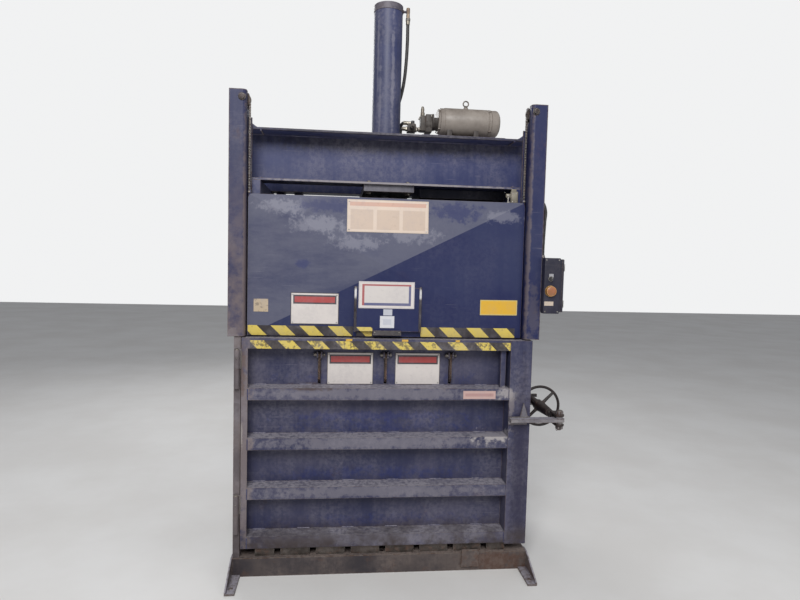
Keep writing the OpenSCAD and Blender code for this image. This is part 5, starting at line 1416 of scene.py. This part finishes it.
class BALER_OT_hydraulics(bpy.types.Operator):
    """Builds the pump, adapter, relief valve and manifold, and runs the hoses with their crimped ends"""
    bl_idname = "baler.hydraulics"
    bl_label = "Build the hydraulics"

    def execute(self, context):
        cast = paint("oily casting", (76, 71, 68), (56, 52, 50), (112, 104, 97), ledges=0.7, walls=0.4, wear=0.45,
                     scale=11.0, reach=0.003)
        steel = metal("fitting zinc", (164, 158, 146), (116, 108, 98), rust=0.3, rough=0.36)
        self.cast_pump(cast, steel)
        self.build_valve(steel)
        block = near(MANIFOLD[0][0] + 0.014, MOTOR_Y, MANIFOLD[0][2])
        self.build_manifold(block, cast, steel)
        self.run_hoses(block)
        return {"FINISHED"}

    def cast_pump(self, cast, steel):
        pump = near(0.232, MOTOR_Y, MOTOR_Z)
        flange = near(PUMP[1][0], MOTOR_Y, MOTOR_Z)
        port = near(MANIFOLD[1][0], MOTOR_Y, MOTOR_Z - 0.058)
        split, length = 34.5, (PUMP[1][0] - pump()[0]) / MM - 45.5
        parts = [
            slab("body", pump(split, -44, -80), flange(-11, 44, 38), 5, 3),
            slab("face", pump(0, -36, -72), pump(split + 1, 36, 28), 6, 3),
            slab("seam", pump(split - 1.5, -40, -76), pump(split + 1.5, 40, 33), 1),
            turned("barrel", ((46, 0), (50, 3), (50, 12), (47, 14), (47, 28), (50, 30), (50, length)),
                   pump(split, 0, -29), X),
            cut_above(turned("flange", ((30, -12), (60, -12), (62, -10), (62, -1), (61, 0), (30, 0)),
                             flange(), X, 72), MOTOR_Z + 0.038),
            turned("neck", ((13, 0), (13, (pump()[0] - port()[0]) / MM + 1)), port(), X, 32)]
        put(joined("pump", *parts), "frame", cast, "cast_grey", "pump")
        bolts = [bolt("pump_bolt", flange(-12, *polar(50, degrees)), -X, 12, 6) for degrees in (30, 150, 225, 315)]
        bolts += [bolt("body_bolt", pump(0, back, up), -X, 10, 5) for back in (-27, 27) for up in (-62, 18)]
        bolts += [turned("union", ((13.5, -4), (18, -4), (18.5, 4), (13.5, 5)), (x, MOTOR_Y, MOTOR_Z - 0.058), X, 6)
                  for x in (0.207, 0.225)]
        put(joined("pump_bolts", *bolts), "frame", steel)
        adapter = turned("adapter", ((42, 0), (60, 0), (62, 2), (62, 6), (59, 8), (59, 20), (62, 22), (62, 26),
                                     (60, 28), (42, 28), (42, 0)), flange(), X, 72)
        put(cut_above(adapter, MOTOR_Z + 0.012), "frame", cast, "cast_grey", "pump_adapter")

    def build_valve(self, steel):
        foot = near(middle("relief_valve", 0), MOTOR_Y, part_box("relief_valve")[0][2])
        put(joined("relief_valve",
                   bolt("hex", foot(), Z, 29, 25, False),
                   turned("stem", ((12, 0), (12, 6), (10.5, 7), (10.5, 10), (12, 11), (12, 28)),
                          foot(0, 0, 25.5), Z, 28),
                   bolt("lock_nut", foot(0, 0, 46), Z, 22, 5, False),
                   bolt("cap", foot(0, 0, 53.5), Z, 17, 12, False)), "frame", steel, "bolt_steel", "relief_valve")

    def build_manifold(self, block, cast, steel):
        width = (MANIFOLD[1][0] - block()[0]) / MM
        put(joined("valve_manifold",
                   slab("block", block(0, -42), block(width, 34, 48), 2.5),
                   turned("sleeve", ((12, 0), (12, 15)), block(28, -42, 24), -Y, 28),
                   turned("coil", ((10, 0), (15, 0), (16, 1), (16, 42), (15, 43), (9, 43), (8, 46), (8, 58), (6, 60)),
                          block(28, -56, 24), -Y, 36)), "frame", cast, "cast_grey", "valve_manifold")
        put(slab("plug", block(17, -92, 37), block(39, -64, 60), 3, 3), "frame",
            moulded("plug plastic", (30, 29, 32), (70, 66, 66)))
        nuts = [bolt("top_union", block(28, 0, 47.5), Z, 27, 6.5, False),
                turned("elbow_rise", ((11, 0), (12.5, 1), (12.5, 17), (10, 19.5)), block(28, 0, 53), Z, 28),
                turned("elbow_run", ((11, 0), (11.7, 1), (11.7, 30), (9.5, 34)), block(38, 0, 62), -X, 28),
                bolt("elbow_nut", (0.156, MOTOR_Y, block(0, 0, 62)[2]), -X, 23, 12, False),
                turned("side_union", ((14.2, 0), (15.2, 1), (15.2, 12), (14, 13.5)), block(0, 0, 24), -X, 6)]
        nuts += [bolt("block_bolt", block(right, back, 48), Z, 10, 5, False)
                 for back in (-34, 26) for right in (8, width - 8)]
        put(joined("manifold_unions", *nuts), "frame", steel)

    def run_hoses(self, block):
        rubber = moulded("hose rubber new", (20, 20, 23), (52, 50, 52), dust=0.25)
        crimp = metal("crimp zinc", (170, 164, 150), (120, 112, 100), rust=0.25, rough=0.34)
        for name, route in (("upper_hose", self.upper_route(block)), ("lower_hose", self.lower_route(block))):
            put(tube(name, route, 11), "frame", rubber, "hose_rubber", name)
            ends = [turned("ferrule", FERRULE, end, Vector(following) - Vector(end), 24)
                    for end, following in ((route[0], route[1]), (route[-1], route[-2]))]
            put(joined(name + "_ends", *ends), "frame", crimp)

    def upper_route(self, block):
        """From the manifold's elbow round the back of the cylinder to the cap's elbow."""
        top = PORT_Z - 0.058
        start, goal = near(*block(-4, 0, 62)), near(HOSE_X, PRESS_Y, top)
        side = near(BARREL_R + 0.011, MOTOR_Y, start()[2])
        back = near(BARREL_R + 0.011, PRESS_Y + BARREL_R + 0.036, start()[2])
        rise = (top - start()[2]) / MM
        return [start(), start(-10), start(-20), side(0, 18, -16), side(-20, 44, -38),
                back(-44, -6, -52), back(-66, 6, -38), back(-74, 6, -8), back(-66, 0, 36), back(-42, -22, 82),
                back(-18, -54, 130), back(0, -86, 196), (back(12)[0], PRESS_Y + 0.019, start(0, 0, 276)[2]),
                goal(-4, 5, -0.4 * rise), goal(0, 0, -0.2 * rise), goal(0, 0, -0.1 * rise), goal()]

    def lower_route(self, block):
        """From the manifold's side union down to the fitting above the flange."""
        start, goal = near(*block(-14, 0, 24)), near(BARREL_R, PRESS_Y, LOW_PORT_Z)
        drop = (LOW_PORT_Z - start()[2]) / MM
        return [start(), start(-10), start(-20), start(-30, 6, 0.1 * drop),
                (HOSE_X, *start(0, -20, 0.6 * drop)[1:]), goal(32, 0, 60), goal(26)]


# Tank and controls

class BALER_OT_tank(bpy.types.Operator):
    """Adds the tank's filler cap, sight glass, drain plug, hanging bolts and welds"""
    bl_idname = "baler.tank"
    bl_label = "Fit out the tank"

    def execute(self, context):
        y0, y1 = FACE_Y + 0.298, 2 * PRESS_Y - FACE_Y - 0.298
        x0, x1, z0, z1 = TANK[0][0], TANK[1][0], TANK[0][2], BEAM_TOP + 0.038
        low, filler = near(x0, y0, z0), near(x1 - 0.070, y1 - 0.044, z1)
        put(joined("filler_cap",
                   turned("cap", ((22, 0), (34, 1), (35, 3), (33.5, 5), (33.5, 14), (32, 16.5), (20, 18), (6, 18.5)),
                          filler(0, 0, 20), Z, 24),
                   turned("neck", ((34, -1), (34, 3), (24.5, 4), (24.5, 21)), filler(), Z, 36)),
            "frame", metal("cap zinc", (176, 170, 160), (128, 120, 110), rust=0.25))
        put(slab("gauge_frame", low(50, -10, 190), low(80, 1, 330), 3, 3), "frame",
            moulded("gauge plastic", (40, 40, 44), (80, 78, 78)))
        nuts = [bolt("gauge_bolt", low(65, -10, up), -Y, 12, 5) for up in (202, 318)]
        nuts += [bolt("hanger_bolt", (x, y, BEAM_TOP + 0.010), Z, 16, 8)
                 for x in (x0 + 0.055, x1 - 0.055) for y in (y0 - 0.030, y1 + 0.030)]
        nuts.append(turned("drain_plug", ((13.5, 0), (13.5, 10), (12, 12)), low(60, 60), -Z, 6))
        put(joined("tank_bolts", *nuts), "frame", metal("tank steel", (146, 140, 132), (100, 94, 88), rust=0.4))
        put(slab("sight_glass", low(59, -11.5, 216), low(71, -9.5, 304), 0.8, 1), "frame",
            moulded("amber glass", (150, 112, 46), (120, 96, 60), rough=0.2, dust=0.2, coat=0.6))
        beads = [weld((x, y, z0 + 0.004), (x, y, z1 - 0.004), 0.6) for y in (y0, y1) for x in (x0, x1)]
        beads += [weld((x0 + 0.004, y, z1 - 0.001), (x1 - 0.004, y, z1 - 0.001), 0.6) for y in (y0, y1)]
        put(joined("tank_welds", *beads), "frame", seam("tank seam paint", coat=(34, 36, 54)))
        return {"FINISHED"}


class BALER_OT_controls(bpy.types.Operator):
    """Builds the control box with its cover, screws, gland, stop button and selector"""
    bl_idname = "baler.controls"
    bl_label = "Build the controls"

    def execute(self, context):
        x, front = middle("stop_button", 0), FACE_Y - 0.050
        stop, dial = near(x, front, middle("stop_button", 2)), near(x, front, middle("selector_knob", 2))
        self.fold_box(front)
        self.fit_cover(stop, dial, front)
        self.mould_stop(near(x, STOP[0][1], stop()[2]))
        self.mould_selector(near(x, KNOB[0][1], dial()[2]))
        return {"FINISHED"}

    def fold_box(self, front):
        enamel = paint("box enamel", (27, 28, 44), (40, 40, 56), (86, 80, 84), ledges=0.6, walls=0.2, wear=0.6,
                       rust=0.35, scale=7.0, reach=0.004)
        low, high = near(BOX[1][0], BOX[0][1], BOX[0][2]), near(BOX[1][0], BOX[0][1], BOX[1][2])
        put(joined("control_box", slab("box", *BOX, 5, 3), slab("fold", low(-12, -3, 4), high(-2, 1, -4), 1)),
            "frame", enamel, "box_grey", "control_box")
        (x0, _, z0), (x1, _, z1) = COVER
        put(slab("control_cover", (x0, front, z0), (x1, FACE_Y - 0.0002, z1), 4, 3), "frame", enamel, "cover_grey",
            "control_cover")

    def fit_cover(self, stop, dial, front):
        put(turned("stop_bezel", ((11.5, -2), (34, -2), (34, 1.5), (32.5, 3.5), (24, 4), (11.5, 3.8)), stop(), -Y),
            "frame", metal("bezel alloy", (196, 152, 84), (150, 112, 62), rust=0.15, rough=0.34, dust=0.2))
        gland = BOX_GLAND()
        parts = [turned("selector_bezel", ((7.5, -2), (16, -2), (16, 1), (14.5, 3), (7.5, 3)), dial(), -Y, 40),
                 turned("gland", ((13, 0), (16, 1), (16, 10), (14.5, 12)), gland, Z, 6),
                 turned("gland_nut", ((10.5, 10), (13, 11), (13, 20), (10.5, 24)), gland, Z, 24)]
        parts += [turned("screw", ((4.8, -1), (4.8, 1.2), (3.5, 2.6), (1.2, 3)), (x, front, z), -Y, 16)
                  for x in (COVER[0][0] + 0.010, COVER[1][0] - 0.010)
                  for z in (COVER[0][2] + 0.012, COVER[1][2] - 0.012)]
        for z in (BOX[0][2] + 0.05, BOX[1][2] - 0.05):
            edge = near(BOX[1][0] - 0.001, BOX[0][1] - 0.0015, z)
            parts.append(rod("hinge", edge(0, 0, -22), edge(0, 0, 22), 3.5, 14, 0.6))
        put(joined("control_fittings", *parts), "frame",
            metal("cover steel", (150, 148, 146), (108, 104, 100), rust=0.3))
        put(slab("selector_legend", dial(-12, -1.2, -4), dial(16, 0.5, 30), 0.6, 1), "frame",
            metal("legend alloy", (172, 172, 176), (140, 140, 144), rust=0.05, rough=0.4))

    def mould_stop(self, head):
        button = turned("stop_button", (
            (10.8, 0), (10.8, 24), (15, 24.5), (15, 27.5), (27, 29), (30.5, 31), (31, 34), (30, 37.5), (26.5, 40.5),
            (18, 42.5), (6, 43)), head(0, 43), -Y, 56)
        put(button, "button", moulded("stop plastic", (146, 82, 34), (128, 92, 62), rough=0.36, coat=0.2),
            "button_red", "stop_button")
        put(ring("stop_ring", head(0, 5.5), Y, 26.8, 2.8, 48, 8), "button",
            moulded("amber rim", (196, 148, 82), (166, 122, 72), rough=0.36))

    def mould_selector(self, tip):
        base = turned("base", ((6.8, 0), (6.8, 19), (12.5, 19.5), (13, 21), (13, 27), (11.8, 29)), tip(0, 43), -Y, 40)
        grip = slab("grip", tip(-4.6, 0, -12.5), tip(4.6, 16, 12.5), 2.2, 3)
        put(joined("selector_knob", base, grip), "selector",
            moulded("selector plastic", (44, 44, 48), (90, 88, 88), rough=0.4), "black_plastic", "selector_knob")
        put(slab("selector_mark", tip(-0.8, -0.4, 2), tip(0.8, 0.6, 11), 0.2, 1), "selector",
            moulded("mark white", (206, 204, 200), (170, 168, 164)))


class BALER_OT_conduit(bpy.types.Operator):
    """Runs the ribbed conduit from the control box to the column"""
    bl_idname = "baler.conduit"
    bl_label = "Run the conduit"

    def execute(self, context):
        start, column = BOX_GLAND, near(COLUMN_X, GUIDE_BACK + 0.050, BEAM_Z - 0.037)
        rise = (column()[2] - start()[2]) / MM
        route = [start(), start(0, 0, 0.1 * rise), start(0, 0, 0.2 * rise), start(4, 0, 0.57 * rise),
                 start(12, 18, 0.77 * rise), (start()[0], GUIDE_BACK, start(0, 0, 0.93 * rise)[2]),
                 column(40), column(20), column()]
        core = tube("conduit", route, 8.8, 20)
        put(joined("conduit", core, self.ribs(route)), "frame",
            moulded("conduit plastic", (30, 30, 33), (66, 64, 66)), "hose_rubber", "conduit")
        gland = turned("wall_gland", ((10.5, 0), (18, 0), (18, 8), (14.5, 10), (14.5, 18), (10.5, 21)),
                       column(), X, 24)
        put(gland, "frame", metal("conduit steel", (146, 140, 134), (98, 92, 86), rust=0.4))
        return {"FINISHED"}

    def ribs(self, route):
        """Rings bent along the conduit's route."""
        pitch = 4.2 * MM
        rib = ring("rib", (0, 0, 0), X, 9, 1.3, 16, 5)
        length = sum((Vector(b) - Vector(a)).length for a, b in zip(route, route[1:]))
        repeat(rib, int(length / pitch), (pitch, 0, 0))
        path = smooth_path("route", route)
        modify(rib, "CURVE", object=path, deform_axis="POS_X")
        bpy.data.objects.remove(path)
        return smooth(rib, 60)


class BALER_OT_limit_switch(bpy.types.Operator):
    """Builds the limit switch and its roller lever"""
    bl_idname = "baler.limit_switch"
    bl_label = "Build the limit switch"

    def execute(self, context):
        steel = metal("switch steel", (176, 172, 166), (130, 124, 118), rust=0.2)
        pivot = near(middle("switch_lever", 0), GUIDE_BACK, LEVER[1][2] - 0.009)
        low = near(LEVER[1][0] + 0.007, GUIDE_BACK, SWITCH[0][2])
        high = near(SWITCH[1][0], GUIDE_BACK, SWITCH[0][2] + 0.076)
        cast = paint("switch enamel", (140, 134, 120), (116, 110, 98), (104, 98, 90), ledges=0.6, walls=0.4,
                     rust=0.25, scale=14.0, reach=0.003)
        put(joined("limit_switch",
                   slab("body", low(0, -24), high(0, -0.2), 3, 3),
                   slab("cover", low(4, -26.5, 6), high(-6, -22, -6), 1.2),
                   slab("bracket", (low(6)[0], low(0, -8)[1], high(0, 0, -2)[2]),
                        (high(-6)[0], high(0, -0.2)[1], BEAM_Z), 1.2),
                   slab("head", pivot(-12, -12, -12), (low(2)[0], *pivot(0, -0.8, 12)[1:]), 2, 3)),
            "frame", cast, "box_grey", "limit_switch")
        screws = [turned("screw", ((3.5, -1), (3.5, 1), (1.5, 2)), (x, low(0, -26.5)[1], z), -Y, 12)
                  for x in (low(10)[0], high(-12)[0]) for z in (low(0, 0, 12)[2], high(0, 0, -12)[2])]
        screws.append(turned("gland", ((12.5, 0), (12.5, 10), (9, 12), (9, 18)), low(30, -12), -Z, 6))
        put(joined("switch_screws", *screws), "frame", steel)
        put(joined("switch_lever",
                   slab("arm", pivot(-4.2, -19.8, -46), pivot(4.2, -15.2, 4), 1.2),
                   turned("hub", ((8.8, 0), (8.8, 7.5), (7.2, 8.5)), pivot(0, -13.8), -Y, 28),
                   rod("pin", pivot(0, -21), pivot(0, -3), 3.8, 16, 0),
                   turned("roller", ((8.2, 0), (9, 1), (9, 9), (8.2, 10)), pivot(0, -14.2, -44), -Y, 28)),
            "lever", steel, "bolt_steel", "switch_lever")
        return {"FINISHED"}


class BALER_OT_base_welds(bpy.types.Operator):
    """Lays the welds of the feet and the gate guides"""
    bl_idname = "baler.base_welds"
    bl_label = "Weld the feet and guides"

    def execute(self, context):
        beads = []
        foot_top, guide_low, guide_y = 0.0125, 1.436, GUIDE_BACK - 0.002
        for side in (1, -1):
            x, rear_x = side * COLUMN_X, side * 0.8925
            beads += [weld((x, FACE_Y - 0.200, foot_top), (x, FACE_Y - 0.004, foot_top), 0.8),
                      weld((rear_x, 0.534, foot_top), (rear_x, 0.620, foot_top), 0.8),
                      weld((x, guide_y, guide_low), (x, guide_y, BEAM_Z - 0.01), 0.7)]
        put(joined("base_welds", *beads), "frame",
            seam("base seam paint", coat=(60, 54, 56), ledges=0.9, wear=0.7, rust=0.6, scale=8.0))
        return {"FINISHED"}


# Registering and running

OPERATORS = [BALER_OT_stage, BALER_OT_paint_frame, BALER_OT_tape, BALER_OT_plates, BALER_OT_chains, BALER_OT_wheels,
             BALER_OT_latch, BALER_OT_door_fittings, BALER_OT_gate_fittings, BALER_OT_cylinder, BALER_OT_motor,
             BALER_OT_hydraulics, BALER_OT_tank, BALER_OT_controls, BALER_OT_conduit, BALER_OT_limit_switch,
             BALER_OT_base_welds]


class BALER_PT_panel(bpy.types.Panel):
    """Lists the steps that dress the machine"""
    bl_idname = "BALER_PT_panel"
    bl_label = "Vertical Baler"
    bl_space_type = "VIEW_3D"
    bl_region_type = "UI"
    bl_category = "Baler"

    def draw(self, context):
        for step in OPERATORS:
            self.layout.operator(step.bl_idname)
        for group in (context.scene.baler_finish, context.scene.baler_sizes):
            box = self.layout.box()
            for key in group.__annotations__:
                box.prop(group, key)


CLASSES = [BalerFinish, BalerSizes, *OPERATORS, BALER_PT_panel]


def register():
    for cls in CLASSES:
        bpy.utils.register_class(cls)
    bpy.types.Scene.baler_finish = bpy.props.PointerProperty(type=BalerFinish)
    bpy.types.Scene.baler_sizes = bpy.props.PointerProperty(type=BalerSizes)


def unregister():
    del bpy.types.Scene.baler_sizes
    del bpy.types.Scene.baler_finish
    for cls in reversed(CLASSES):
        bpy.utils.unregister_class(cls)


def main():
    register()
    for step in OPERATORS:
        group, name = step.bl_idname.split(".")
        getattr(getattr(bpy.ops, group), name)()
    deselect()


if __name__ == "__main__":
    main()
